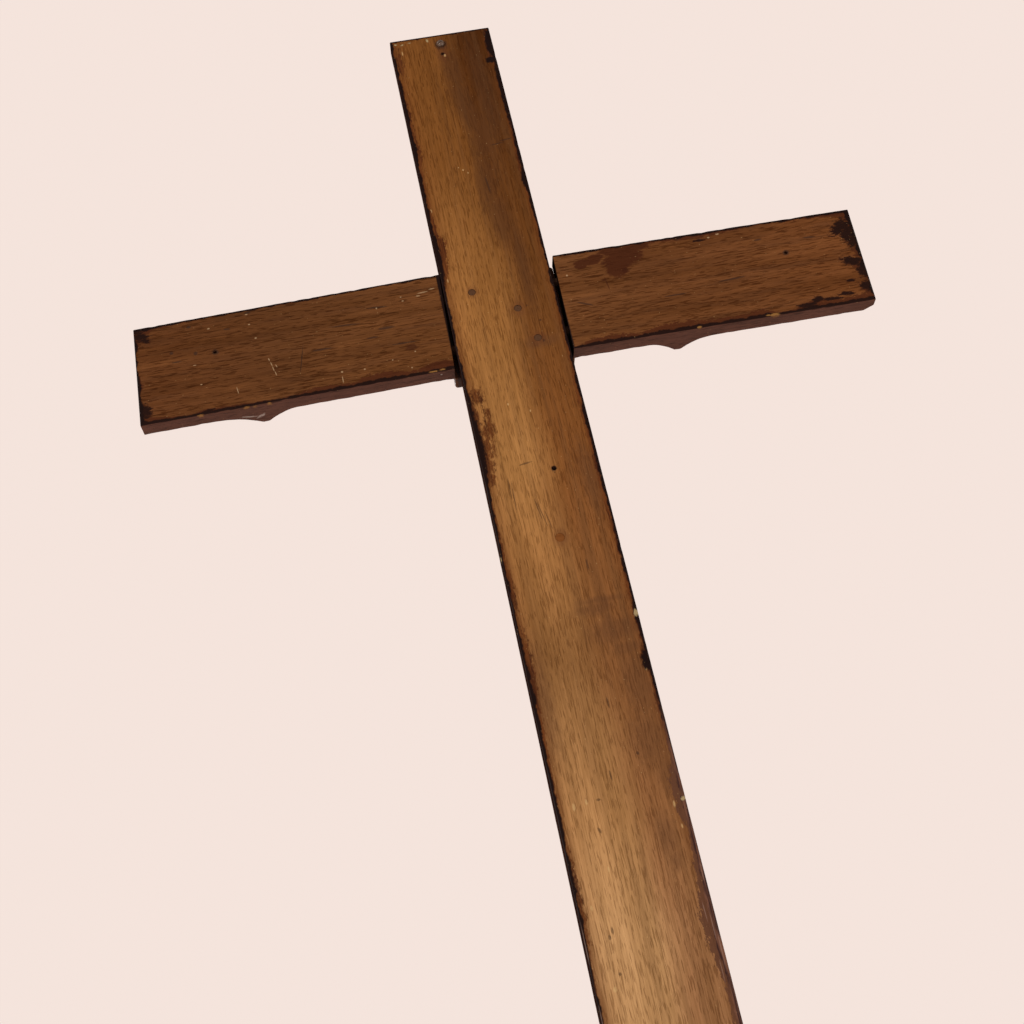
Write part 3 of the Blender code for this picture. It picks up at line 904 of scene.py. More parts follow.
# %% Grime group
GRIME, inside, out = new_group("grime", [("Place", "Vector", (0, 0, 0))],
                               [("Cloud", "Float"), ("Dust", "Float"), ("Specks", "Float")])
cloud = stretched(GRIME, inside["Place"], (34, 34, 26), detail=4, rough=0.6)
feed(GRIME, out["Cloud"], fade(GRIME, cloud, 0.42, 0.70))
upward = fade(GRIME, facing(GRIME)[2], 0.3, 0.95)
patchy = stretched(GRIME, inside["Place"], (120, 120, 90), detail=3)
feed(GRIME, out["Dust"], calc(GRIME, "MULTIPLY", upward, fade(GRIME, patchy, 0.20, 0.90)))
specks = stretched(GRIME, inside["Place"], (900, 900, 640), detail=0)
feed(GRIME, out["Specks"], fade(GRIME, specks, 0.81, 0.87))
print("grime nodes:", len(GRIME.nodes))

# %% [markdown]
# ## A board's finish, shared part
#
# Both kinds of board are finished in the same order: tone, grain, marks, varnish and dust. The
# first call below starts a material with a Principled shader. The constant settings go straight
# on the shader, and only what changes over the wood is a node. The others set the bump, lay
# grain over a tone and make the noises that tear the varnish's edges.

# %% Starting a material
def start(name, **constants):
    """A new material with its constant settings, and the place on the object to work from."""
    material = bpy.data.materials.new(name)
    material.use_nodes = True
    tree = material.node_tree
    shader = tree.nodes["Principled BSDF"]
    for socket, value in constants.items():
        shader.inputs[socket.replace("_", " ")].default_value = value
    place = add(tree, "TexCoord").outputs["Object"]
    return material, tree, shader, place


def raise_by(tree, shader, height, distance):
    """Bump: a height of 1 stands the given distance, in metres, off the surface."""
    bump = add(tree, "Bump")
    feed(tree, bump.inputs["Distance"], distance)
    feed(tree, bump.inputs["Height"], height)
    feed(tree, shader.inputs["Normal"], bump.outputs[0])


def turn_along_x(tree, place):
    """The same place with the board's length put on Z, for an arm that runs along X."""
    parts = add(tree, "SeparateXYZ", place).outputs
    return add(tree, "CombineXYZ", parts[2], parts[1], parts[0]).outputs[0]


def grained(tree, tone, grain, pore_strength=0.60):
    """Lays figure, fibre and pores over a tone by multiplying it down and up."""
    figured = paint(tree, fade(tree, grain["Figure"], 0.35, 0.65), (0.86, 0.84, 0.81),
                    (1.10, 1.11, 1.13))
    tone = paint(tree, 1.0, tone, figured, "MULTIPLY")
    fibred = paint(tree, fade(tree, grain["Fibre"], 0.36, 0.64), (0.85, 0.83, 0.80),
                   (1.13, 1.14, 1.16))
    tone = paint(tree, 1.0, tone, fibred, "MULTIPLY")
    pored = calc(tree, "MULTIPLY", grain["Pores"], pore_strength)
    return paint(tree, pored, tone, (0.48, 0.41, 0.35), "MULTIPLY")


def wear_noises(tree, place):
    """Three noises for torn varnish: a wave along the board, a ragged one and a fine one."""
    wave = stretched(tree, place, (14, 0, 88), detail=3, rough=0.6)
    torn_place = aim(tree, "MULTIPLY", place, (400, 400, 170))
    ragged = calc(tree, "MULTIPLY_ADD", noise(tree, torn_place, detail=5, rough=0.7), 3.4, -1.7)
    fine = calc(tree, "SUBTRACT", noise(tree, torn_place, scale=2.6, detail=2), 0.5)
    return wave, ragged, fine


print("calls:", ", ".join(call.__name__ for call in (start, raise_by, grained, wear_noises)))

# %% [markdown]
# ## Varnish and its relief
#
# The sides and the front carry a full coat, brushed along the grain and thin where the front is
# handled, and painted paler underneath as a painted reflection of the pale floor. On the back only
# the bands are left. Varnish is smoother than worn wood, so the same masks that lay its colour also
# lower Roughness and raise Coat Weight, and it stands a little proud of the wood.

# %% Varnish over wood
VARNISH_CORE = (0.0085, 0.0032, 0.0025)
VARNISH_SIDE = (0.016, 0.0066, 0.0050)
UNDERSIDE_VARNISH_AND_SHEEN = (0.096, 0.0415, 0.0285)
PALE_WOOD = (0.46, 0.30, 0.13)
DUST = (0.30, 0.25, 0.21)
BOARD_RELIEF = 0.22 * MM


def full_coat(tree, grain, grime, faces):
    """The unworn varnish of sides, front and underside as one colour; underneath, painted sheen."""
    brushed = paint(tree, fade(tree, grain["Fibre"], 0.25, 0.75), (0.78, 0.76, 0.75),
                    (1.24, 1.23, 1.22))
    coat = paint(tree, 1.0, VARNISH_SIDE, brushed, "MULTIPLY")
    coat = wash(tree, grime["Cloud"], 0.5, coat, (0.038, 0.015, 0.009))
    # The underside's paler coat is painted sheen, standing in for the pale floor reflected there.
    underside_coat_and_sheen = paint(tree, 1.0, UNDERSIDE_VARNISH_AND_SHEEN, brushed, "MULTIPLY")
    underside_coat_and_sheen = wash(tree, grime["Cloud"], 0.35, underside_coat_and_sheen, (0.040, 0.018, 0.013))
    coat = paint(tree, fade(tree, faces[2], -0.35, -0.85), coat, underside_coat_and_sheen)
    handled = calc(tree, "MULTIPLY", fade(tree, faces[1], 0.3, 0.9),
                   fade(tree, grain["Figure"], 0.42, 0.66))
    coat = wash(tree, handled, 0.75, coat, (0.070, 0.0300, 0.0165))
    return wash(tree, grain["Pores"], 0.45, coat, VARNISH_CORE)


def varnished(tree, shader, wood, grain, rim, core, side, grime, fine, thin,
              deepest=VARNISH_CORE):
    """Puts varnish over wood: rim and core on the back, and a full coat on the other sides.

    The sides and the upward faces are matt: they get no clear coat and a higher Roughness.
    """
    faces = facing(tree)
    colour = wash(tree, rim, 0.94, wood, thin)
    colour = paint(tree, core, colour, deepest)
    colour = paint(tree, side, colour, full_coat(tree, grain, grime, faces))
    matt = fade(tree, largest(tree, calc(tree, "ABSOLUTE", faces[0]), faces[2]), 0.45, 0.85)
    colour = wash(tree, grime["Dust"], 0.07, colour, DUST)
    colour = wash(tree, grime["Specks"], 0.28, colour, PALE_WOOD)
    feed(tree, shader.inputs["Base Color"], colour)
    cover = largest(tree, core, calc(tree, "MULTIPLY", rim, 0.7), side)
    gloss = calc(tree, "MULTIPLY_ADD", cover, -0.24, 0.58)
    gloss = calc(tree, "MULTIPLY_ADD", fine, 0.16, gloss)
    gloss = calc(tree, "MULTIPLY_ADD", grime["Dust"], 0.2, gloss)
    gloss = calc(tree, "MULTIPLY_ADD", matt, 0.30, gloss, clamp=True)
    feed(tree, shader.inputs["Roughness"], gloss)
    coated = calc(tree, "MULTIPLY", cover, calc(tree, "MULTIPLY_ADD", matt, -0.13, 0.13))
    in_front = calc(tree, "MULTIPLY", fade(tree, faces[1], 0.3, 0.9), 0.15)
    feed(tree, shader.inputs["Coat Weight"], largest(tree, coated, in_front))
    return cover


def board_relief(tree, shader, grain, cover, fine, cracks_and_painted_shade, chips):
    """Bump for a board: grain plus half the varnish, less cracks, painted shade and the deep chips."""
    height = calc(tree, "MULTIPLY_ADD", cover, 0.5, grain["Height"])
    height = calc(tree, "SUBTRACT", height, cracks_and_painted_shade)
    height = calc(tree, "SUBTRACT", height, calc(tree, "MULTIPLY", chips, 1.4))
    raise_by(tree, shader, calc(tree, "MULTIPLY_ADD", fine, 0.5, height), BOARD_RELIEF)


def on_the_back(tree, y):
    """A mask that is 1 for the first 2 mm from the back and 0 from 4 mm on."""
    return fade(tree, y, back_y + 4 * MM, back_y + 2 * MM)


print(f"varnish stands up to {BOARD_RELIEF / 2 / MM:.2f} mm proud")

# %% [markdown]
# ## The upright's finish
#
# The long board is golden on its left and browner on its right, and darker towards the top; the
# lighter, paler lower part is partly painted sheen. Two ramps over its height give the golden and
# the brown, and they meet along a line that wanders with the grain.

# %% The upright's tones
def height_at(z):
    """The share of the upright's height at z mm from the crossing."""
    return (crossing_z + z * MM) / top_z


def by_height(stops):
    """Turns (mm from the crossing, value) into ramp stops over the upright's height."""
    return [(height_at(z), value) for z, value in stops]


oak, tree, shader, place = start("upright_oak", Coat_Roughness=0.34, Specular_IOR_Level=0.0)
parts = add(tree, "SeparateXYZ", place).outputs
x, y, z = parts[0], parts[1], parts[2]
grain = use(tree, GRAIN, Place=place)
grime = use(tree, GRIME, Place=place)
height = calc(tree, "DIVIDE", z, top_z)
# Both ramps grow lighter low down, partly as painted sheen on the lower board.
golden = ramp(tree, height, by_height([
    (-890, (0.284, 0.152, 0.0610)), (-500, (0.376, 0.211, 0.0900)), (-420, (0.316, 0.163, 0.0620)),
    (-300, (0.184, 0.085, 0.0285)), (-220, (0.252, 0.116, 0.0370)), (-140, (0.278, 0.132, 0.0415)),
    (0, (0.235, 0.103, 0.0290)), (160, (0.136, 0.052, 0.0124)), (300, (0.135, 0.051, 0.0120))]))
brown = ramp(tree, height, by_height([
    (-890, (0.186, 0.088, 0.0350)), (-500, (0.232, 0.111, 0.0465)), (-420, (0.200, 0.088, 0.0330)),
    (-140, (0.152, 0.056, 0.0148)), (0, (0.120, 0.0455, 0.0120)), (160, (0.092, 0.0318, 0.0075)),
    (300, (0.050, 0.0160, 0.0040))]))
drift = stretched(tree, place, (0, 0, 9), detail=1)
wander = calc(tree, "MULTIPLY_ADD", drift, 0.030, -0.009)
feather = calc(tree, "MULTIPLY_ADD", grain["Figure"], 0.030, -0.015)
from_middle = calc(tree, "ADD", calc(tree, "SUBTRACT", x, wander), feather)
tone = paint(tree, fade(tree, from_middle, -0.014, 0.016), golden, brown)
left_shade = fade(tree, x, -0.026, -0.044)
tone = wash(tree, left_shade, 0.30, tone, (0.15, 0.052, 0.015))
wood = grained(tree, tone, grain)
print("tones blended over", len(tree.nodes), "nodes")

# %% [markdown]
# ## Old stain on the upright
#
# Both arrises are redder than the middle, where stain crept in from the varnished sides. Broad
# dull streaks run down the board, stronger on the right.

# %% Stain on the upright
wave, ragged, ragged_fine = wear_noises(tree, place)
edge_gap = calc(tree, "SUBTRACT", half_width, calc(tree, "ABSOLUTE", x))
streaky = stretched(tree, place, (420, 420, 30), detail=3, rough=0.65)
reddish = calc(tree, "MULTIPLY", fade(tree, edge_gap, 0.010, 0.001),
               fade(tree, streaky, 0.26, 0.58))
wood = wash(tree, reddish, 0.80, wood, (0.088, 0.0275, 0.0080))
broad = stretched(tree, place, (150, 150, 5), detail=3, rough=0.6)
dull = calc(tree, "MULTIPLY", fade(tree, broad, 0.46, 0.66), fade(tree, x, -0.03, 0.02, 0.35, 0.9))
wood = wash(tree, dull, 0.36, wood, (0.105, 0.048, 0.019))
print("with stain:", len(tree.nodes), "nodes")

# %% [markdown]
# ## Streaks and smears on the upright
#
# These are placed one by one, because they are this board's own: dark streaks above the crossing,
# clouds where something lay against the wood, and smears of rust round the nails, the plug and
# the screw.

# %% Streaks and smears on the upright
streaks = marks(tree, place, ragged, 0.5, [
    (3.5, 262, 8, 26, 4), (9, 212, 9, 40, 12), (16, 178, 9, 26, -6), (11, 130, 8, 36, -6),
    (14, 92, 9, 30, 4), (28, 232, 8, 60, 2), (24, 40, 6, 44, 0)], soft=0.65)
wood = wash(tree, streaks, 0.54, wood, (0.062, 0.025, 0.0105))
clouds = marks(tree, place, ragged, 0.6, [
    (27, -287, 19, 9, 0), (14, -268, 14, 5, 0), (33, -302, 12, 5, 0), (20, -262, 16, 3, 0),
    (24, -34, 14, 5, 4), (22, -282, 4, 9, 0), (33, -284, 7, 5, 0),
    (28, -458, 4, 6, 0), (35, -160, 8, 30, 3), (33, -330, 10, 26, 0), (30, -372, 12, 20, 0),
    (38, -398, 8, 16, 0), (26, -440, 6, 14, 0), (-36, -330, 6, 40, 0)], soft=0.7)
wood = wash(tree, clouds, 0.46, wood, (0.080, 0.034, 0.0155))
smears = marks(tree, place, ragged, 0.5, [
    (1.8, -207, 6, 7, 0), (11.3, 0.7, 6.5, 7.5, 0), (-22.3, 23.2, 5, 5.5, 0),
    (21.6, -30, 5.5, 6, 0), (25, -27, 2.5, 2.5, 0), (-1, 284, 5, 14, 0)], soft=0.5)
wood = wash(tree, smears, 0.36, wood, (0.080, 0.026, 0.012))
print("with streaks and smears:", len(tree.nodes), "nodes")

# %% [markdown]
# ## Flecks on the upright
#
# Short cracks and worm marks are dark, fresh knocks are pale, and painted shade darkens the wood
# round the holes and round the screw's head. The dark ones all go into the bump later, as dents.

# %% Flecks on the upright
INK = (0.030, 0.017, 0.012)
# Among these, the discs round the holes and the ring round the screw's head are painted shade.
cracks_and_painted_shade = marks(tree, place, ragged, 0.45, [
    (-11, -140, 4.6, 0.7, 8), (-25.3, -167, 0.38, 12, -2), (-7, -186, 0.36, 11, 10),
    (-3.6, -190, 0.34, 9, 10), (9.4, -152, 0.5, 0.5, 0),
    (-27.2, -499, 0.9, 1.6, 0), (-24.6, -495, 0.8, 2.2, 0), (-25.9, -523, 1.0, 1.0, 0),
    (-14, -407, 1.4, 0.8, 0), (20, -380, 1.0, 1.3, 20), (-18, -428, 0.9, 2.2, 20),
    (9.5, -148.5, 2.4, 2.4, 0), (27, -14, 0.8, 0.9, 0), (25.6, -33.5, 0.8, 1.2, 0),
    (11, 128, 0.7, 9, 4), (19, 2, 0.6, 0.9, 0), (-27, -158, 0.4, 8, 0),
    (-9.4, -180, 0.4, 9, 8), (27, 170, 5, 0.6, 6), (35, 173, 6, 0.6, 6),
    (-1, 279, 2.0, 2.0, 0), (-0.8, 290, 5.2, 4.8, 0),
    (-2, -392, 0.6, 3.5, 3), (8, -340, 0.6, 4, 2), (17, -232, 0.6, 4, 0)], soft=0.35)
wood = wash(tree, cracks_and_painted_shade, 0.56, wood, INK)
pale_flecks = marks(tree, place, ragged, 0.5, [
    (-6.7, 147.7, 0.8, 0.8, 0), (-10, 151, 0.5, 0.7, 0), (-3, 144, 0.5, 0.8, 0),
    (-31.9, -409, 1.0, 2.6, 0), (-22.8, -407, 0.8, 2.0, 0), (36.3, -420, 0.7, 2.1, 0),
    (40.5, -320, 0.8, 1.6, 0), (-31.4, -532, 1.2, 1.8, 0), (-40.6, 110, 0.5, 1.8, 0),
    (-14, -86, 0.6, 1.0, 0), (2, -95, 0.5, 1.0, 0), (-18, -455, 0.6, 1.8, 0),
    (38, -436, 0.6, 1.6, 0), (-35, -478, 0.7, 1.8, 0), (-39.5, 38, 0.5, 1.6, 0),
    (-36, 286, 0.5, 2.4, 0), (0.7, 276.8, 0.9, 1.3, 0)], soft=0.4)
wood = wash(tree, pale_flecks, 0.55, wood, PALE_WOOD)
print("with flecks:", len(tree.nodes), "nodes")

# %% [markdown]
# ## Varnish bands on the upright
#
# Down the left arris the varnish is widest just above and below the crossing, and low on the
# right a wide purple-brown band begins. The widths, in millimetres, are read from a ramp of the
# height, which holds only 0 to 1, so they are divided by the widest and multiplied back.

# %% Bands on the upright
WIDEST = 12.0


def widths(stops):
    """Turns (place, width in mm) into grey ramp stops."""
    return [(place, width / WIDEST) for place, width in stops]


def band_width(tree, grey):
    """A ramp's grey as a width in metres."""
    return calc(tree, "MULTIPLY", grey, WIDEST * MM)


left_width = ramp(tree, height, widths(by_height([
    (-890, 1.6), (-560, 1.8), (-420, 2.6), (-325, 5.0), (-300, 4.6), (-280, 2.0), (-225, 2.8),
    (-205, 3.4), (-160, 2.4), (-139, 6.6), (-106, 5.6), (-80, 3.6), (-61, 1.6), (20, 0.9),
    (38, 4.0), (49, 8.0), (66, 9.6), (78, 10.6), (86, 5.6), (118, 4.0), (150, 3.6), (166, 6.0),
    (176, 7.4), (186, 5.0), (215, 4.6), (246, 3.2), (270, 2.0), (299, 2.4)])))
right_width = ramp(tree, height, widths(by_height([
    (-890, 7.0), (-545, 5.6), (-501, 11.0), (-474, 6.4), (-437, 3.4), (-429, 7.6), (-402, 8.4),
    (-388, 3.2), (-310, 2.8), (-287, 3.6), (-220, 3.2), (-193, 3.8), (-140, 4.6), (-100, 4.6),
    (-62, 4.0), (-45, 2.6), (40, 1.6), (110, 3.6), (140, 5.0), (180, 3.4), (230, 2.6), (258, 2.0),
    (262, 8.8), (268, 5.6), (276, 6.8), (299, 5.0)])))
left_band = use(tree, BAND, Distance=calc(tree, "ADD", x, half_width), Ragged=ragged,
                Width=band_width(tree, left_width), Wave=wave)
right_band = use(tree, BAND, Distance=calc(tree, "SUBTRACT", half_width, x), Ragged=ragged,
                 Width=band_width(tree, right_width), Wave=wave)
top_wave = stretched(tree, place, (120, 0, 0), detail=3)
top_band = use(tree, BAND, Distance=calc(tree, "SUBTRACT", top_z, z), Ragged=ragged,
               Width=1.0 * MM, Wave=top_wave)
print("with bands:", len(tree.nodes), "nodes")

# %% [markdown]
# ## Blots and scabs of varnish on the upright
#
# Beside the bands the varnish ran on to the back in thin mottled blots, and here and there it
# stands on the arris as a thick black scab. Blots join the thin rim and scabs join the core.

# %% Blots and scabs on the upright
blots = marks(tree, place, ragged, 1.5, [
    (-37, -74, 5.0, 8, 4), (-31.2, -90, 2.6, 3.6, 0), (-33.4, -106, 4.6, 12, -4),
    (-37, -122, 5, 9, 0), (-39, -136, 4, 8, 0), (-38.6, -148, 2.6, 5, 0), (-42, -90, 3, 16, 0),
    (-40, 275, 2.4, 12, 0), (43, -344, 1.6, 9, 0), (41, -310, 1.8, 6, 0),
    (-41, -300, 2.6, 26, 0), (-42, -240, 2.4, 16, 0), (-42, -470, 2.0, 30, 0)], soft=0.42)
scabs = marks(tree, place, ragged, 0.5, [
    (43.2, 283, 4.6, 18, 0), (40.6, 264, 5.6, 3.6, 0), (43.4, 225, 2.6, 40, 0),
    (43.6, 128, 3.4, 14, 0), (-43.6, 60, 3.0, 26, 0), (43, -314, 4.2, 9, 0),
    (-44.4, -118, 5.0, 34, 0)], soft=0.25)
mottled = fade(tree, ragged_fine, -0.16, 0.04)
blots = calc(tree, "MULTIPLY", blots, calc(tree, "MULTIPLY_ADD", mottled, 0.28, 0.72))
rim = largest(tree, left_band["Rim"], right_band["Rim"], blots)
core = largest(tree, left_band["Core"], right_band["Core"], top_band["Core"],
               calc(tree, "MULTIPLY", blots, 0.12), scabs)
print("with blots:", len(tree.nodes), "nodes")

# %% [markdown]
# ## The upright's coat
#
# Off the back, and over the end grain at the top, the coat is whole. The low right band is
# another varnish, purple-brown and streaky, so both of its colours change there.

# %% The upright's coat
off_back = fade(tree, y, back_y + 0.12 * MM, back_y + 0.55 * MM)
end_grain = fade(tree, z, top_z - 2.2 * MM, top_z - 0.8 * MM)
side = largest(tree, off_back, end_grain)
low_right = calc(tree, "MULTIPLY", fade(tree, height, height_at(-330), height_at(-400)),
                 fade(tree, x, 0.0, 0.02))
purple = paint(tree, fade(tree, streaky, 0.38, 0.60), (0.030, 0.0125, 0.0110),
               (0.125, 0.054, 0.0320))
deepest = paint(tree, low_right, VARNISH_CORE, purple)
patchy_rim = paint(tree, fade(tree, streaky, 0.36, 0.62), (0.040, 0.0100, 0.0036),
                   (0.110, 0.0330, 0.0085))
thin = paint(tree, low_right, patchy_rim, (0.086, 0.036, 0.0190))
cover = varnished(tree, shader, wood, grain, rim, core, side, grime, ragged_fine, thin, deepest)
print("with the coat:", len(tree.nodes), "nodes")

# %% [markdown]
# ## Knocks on the upright
#
# Where the arris was knocked after the last coat, bare wood shows as yellow chips, and long thin
# pale lines along the arrises are painted highlights on the varnish. These lie over everything else.

# %% Knocks on the upright
chips = marks(tree, place, ragged, 1.0, [
    (43.2, -276.7, 1.5, 2.6, 0), (43.6, -417.4, 2.3, 1.4, 0), (-40, 297.6, 1.4, 0.9, 0),
    (-35, 296, 1.6, 0.7, 20), (-28, 297.4, 1.2, 0.5, 0), (-12, 297, 1.0, 1.6, 0),
    (45, -352, 0.5, 1.6, 0), (-45, -215, 0.4, 2.0, 0), (45, -95, 0.5, 1.6, 0)], soft=0.4)
chips = calc(tree, "MULTIPLY", chips, on_the_back(tree, y))
# Painted highlights: thin pale lines along the arrises, where the varnish catches the light.
arris_highlights = marks(tree, place, ragged, 0.5, [
    (41.5, -505, 0.35, 8, 0), (43.2, -522, 0.35, 10, 0), (38.6, -494, 0.3, 6, 2),
    (40.2, -534, 0.3, 7, 0), (43.4, -470, 0.3, 6, 0), (-44.2, -500, 0.3, 12, 0),
    (-44, -550, 0.3, 9, 0)], soft=0.4)
wash_over(tree, shader, arris_highlights, 0.32, (0.30, 0.19, 0.15))
wash_over(tree, shader, chips, 0.85, (0.30, 0.225, 0.115))
board_relief(tree, shader, grain, cover, ragged_fine, cracks_and_painted_shade, chips)
upright.data.materials.append(oak)
print("upright nodes:", len(tree.nodes))

# %% [markdown]
# ## The arms' finish
#
# The arms are darker and redder than the upright, because more of the old stain is left on
# them. They share one material, since they were cut from one board: the left arm's marks lie at
# negative X and the right arm's at positive X. One ramp from end to end gives the tone, and a
# mottled noise pulls it down and up.

# %% The arms' tones
arm, tree, shader, place = start("arm_oak", Coat_Roughness=0.34, Specular_IOR_Level=0.0)
parts = add(tree, "SeparateXYZ", place).outputs
x, y, z = parts[0], parts[1], parts[2]
along = turn_along_x(tree, place)
grain = use(tree, GRAIN, Place=along)
grime = use(tree, GRIME, Place=along)
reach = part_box("right_arm")[1].x
across_all = calc(tree, "MULTIPLY_ADD", x, 0.5 / reach, 0.5)


def by_reach(stops):
    """Turns (mm from the crossing, value) into ramp stops from the left end to the right."""
    return [(0.5 + 0.5 * x * MM / reach, value) for x, value in stops]


tone = ramp(tree, across_all, by_reach([
    (-300, (0.089, 0.0318, 0.0106)), (-180, (0.083, 0.0318, 0.0108)), (-60, (0.102, 0.0388, 0.0126)),
    (40, (0.117, 0.0455, 0.0154)), (120, (0.100, 0.0374, 0.0126)), (200, (0.107, 0.0394, 0.0132)),
    (299, (0.115, 0.0405, 0.0126))]))
mottle = stretched(tree, along, (130, 130, 12), detail=4, rough=0.65)
tone = paint(tree, calc(tree, "MULTIPLY", fade(tree, mottle, 0.46, 0.72), 0.62), tone,
             (0.060, 0.0235, 0.0098))
tone = paint(tree, calc(tree, "MULTIPLY", fade(tree, mottle, 0.46, 0.28), 0.30), tone,
             (0.175, 0.068, 0.0210))
wood = grained(tree, tone, grain, 0.85)
wave, ragged, ragged_fine = wear_noises(tree, along)
print("arm tones:", len(tree.nodes), "nodes")

# %% [markdown]
# ## Stains on the arms
#
# A pool of dark stain dried near the top of the right arm, with a sharp edge and two runs below
# it. A smaller one lies on the left arm's lower edge, beside the upright.

# %% Stains on the arms
stains = marks(tree, place, ragged, 0.35, [
    (99, 24, 9, 10, 0), (107, 33, 16, 8, 0), (109, 41, 22, 5, 0), (101, 29, 12, 9, 0),
    (75, 33.6, 11, 3.2, -5), (84, 37, 7, 3.0, 0), (70, 31, 5, 3, 0), (-60, -40, 12, 4, 0)],
    soft=0.16)
wood = wash(tree, stains, 0.90, wood, (0.044, 0.0128, 0.0056))
runs = marks(tree, place, ragged, 0.9, [
    (87.6, 9, 0.5, 5.5, 6), (86, 13.5, 2.2, 0.8, 0), (105.5, 20, 3.0, 2.4, 0),
    (88.5, 30, 2.0, 2.0, 0), (-79, -19, 5, 3.4, 0)], soft=0.5)
wood = wash(tree, runs, 0.66, wood, (0.034, 0.010, 0.005))
print("with stains:", len(tree.nodes), "nodes")

# %% [markdown]
# ## Flecks on the arms
#
# The dark flecks are short cracks along the grain and the shadows round the hand holes. The pale
# ones are scratches, mostly a slanting row of them on the left arm, and drops of paint.

# %% Flecks on the arms
cracks_and_painted_shade = marks(tree, place, ragged, 0.45, [
    (-233.5, 7.2, 2.5, 2.5, 0), (239, 10.7, 2.5, 2.5, 0), (219.4, 27.8, 3.2, 0.8, 0),
    (-252, 35, 1.8, 1.1, 0), (-204, 39.5, 2.4, 1.0, 0), (-268, 13, 1.4, 1.4, 0), (-222, 27, 2.6, 0.7, -8),
    (-167, -14, 0.36, 12, -12), (-264, 4, 4, 0.7, 0), (-249, 9, 1.6, 1.6, 0), (-128, 12, 12, 0.7, -3),
    (-96, 3, 6, 1.2, 0), (-108, -4, 5, 0.8, 0),
    (-150, -7, 9, 0.8, 0), (-84, -14, 11, 0.7, 0), (-100, 24, 8, 0.7, -4),
    (171.8, 37, 1.8, 1.5, 0), (154.5, 41.6, 3.0, 1.4, 0), (188, -6, 11, 0.7, 2),
    (140, -12, 9, 0.7, 0), (262, 22, 5, 0.8, -6), (66, -6, 7, 0.7, -24)], soft=0.35)
wood = wash(tree, cracks_and_painted_shade, 0.72, wood, INK)
pale_flecks = marks(tree, place, ragged, 0.5, [
    (-236.5, 30.4, 1.0, 0.6, 0), (-200.3, 14.1, 1.0, 0.6, 0), (-192.4, -8, 0.42, 1.4, 14),
    (-191, -12.6, 0.42, 2.0, 16), (-190, -17.4, 0.4, 2.2, 12), (-188.6, -22, 0.4, 1.8, 12),
    (-187.4, -15, 0.36, 1.4, 20), (-247.5, -20.5, 0.8, 0.5, 0), (-220, -32, 0.36, 3.0, 8),
    (-251, -1.8, 1.4, 0.4, 0), (-119, -32, 0.7, 0.6, 0), (-77, -23.5, 0.6, 0.6, 0),
    (-101, 23, 0.6, 0.8, 0), (-80, 30, 0.7, 0.5, 0), (-205, 38, 1.0, 0.5, 0),
    (-62, 31, 3.6, 0.5, 4), (-54, 33, 2.4, 0.5, 4), (-66, 28.4, 1.6, 0.5, 0),
    (57, 24, 0.7, 0.8, 0), (188, 40.6, 1.4, 1.4, 30), (180, 38.0, 1.0, 0.7, 0),
    (-79, 26, 0.8, 0.5, 0), (-137, -31, 0.8, 0.7, 0), (-137.4, -38, 0.4, 2.6, 0),
    (-96, -28, 0.6, 0.6, 0), (-82, -38, 0.6, 0.6, 0), (-204, 28, 0.9, 0.5, 0)], soft=0.4)
wood = wash(tree, pale_flecks, 0.62, wood, (0.36, 0.24, 0.13))
print("with flecks:", len(tree.nodes), "nodes")

# %% [markdown]
# ## Varnish bands on the arms
#
# The arms taper, so a point's distance from an edge is measured to the straight line between
# two corners. The lower arris has kept the most varnish, in a band that swells and shrinks.

# %% Bands on the arms
def edge_line(edge):
    """The z of an arm's edge at x: slope times x plus height, one line for each arm."""
    lines = []
    for corners in (left_corners, right_corners):
        inner, outer = corners[0][edge], corners[1][edge]
        slope = (outer[1] - inner[1]) / (outer[0] - inner[0])
        lines.append(calc(tree, "MULTIPLY_ADD", x, slope, inner[1] - slope * inner[0]))
    on_right = calc(tree, "GREATER_THAN", x, 0.0)
    other = calc(tree, "MULTIPLY", lines[0], calc(tree, "SUBTRACT", 1.0, on_right))
    return calc(tree, "MULTIPLY_ADD", lines[1], on_right, other)


upper_width = ramp(tree, across_all, widths(by_reach([
    (-299, 8.0), (-290, 7.5), (-278, 3.8), (-262, 2.2), (-200, 1.8), (-150, 2.8), (-120, 1.4),
    (-60, 1.6), (50, 1.4), (62, 2.4), (104, 2.8), (140, 3.4), (170, 5.4), (190, 4.0),
    (225, 2.0), (262, 3.4), (282, 5.0), (299, 8.0)])))
lower_width = ramp(tree, across_all, widths(by_reach([
    (-299, 9.0), (-288, 6.0), (-262, 1.8), (-246, 4.4), (-205, 3.4), (-188, 1.8), (-165, 5.2),
    (-148, 6.4), (-130, 4.6), (-118, 8.4), (-98, 9.4), (-86, 5.6), (-52, 7.2), (50, 1.6),
    (66, 6.6), (84, 7.6), (104, 4.4), (122, 9.0), (146, 8.2), (166, 5.6), (193, 6.4), (206, 8.6),
    (218, 2.4), (232, 3.4), (246, 8.0), (270, 5.4), (299, 9.0)])))
upper_gap = calc(tree, "SUBTRACT", edge_line(1), z)
lower_gap = calc(tree, "SUBTRACT", z, edge_line(0))
upper_band = use(tree, BAND, Distance=upper_gap, Ragged=ragged,
                 Width=band_width(tree, upper_width), Wave=wave)
lower_band = use(tree, BAND, Distance=lower_gap, Ragged=ragged,
                 Width=band_width(tree, lower_width), Wave=wave)
print("with edge bands:", len(tree.nodes), "nodes")

# %% [markdown]
# ## Varnish at the arms' ends
#
# Round the outer ends the coat broke away in steps, so the band there is as wide as a patchy
# noise makes it, wider on the right. A thin line follows the joint, and blots fill the corners.

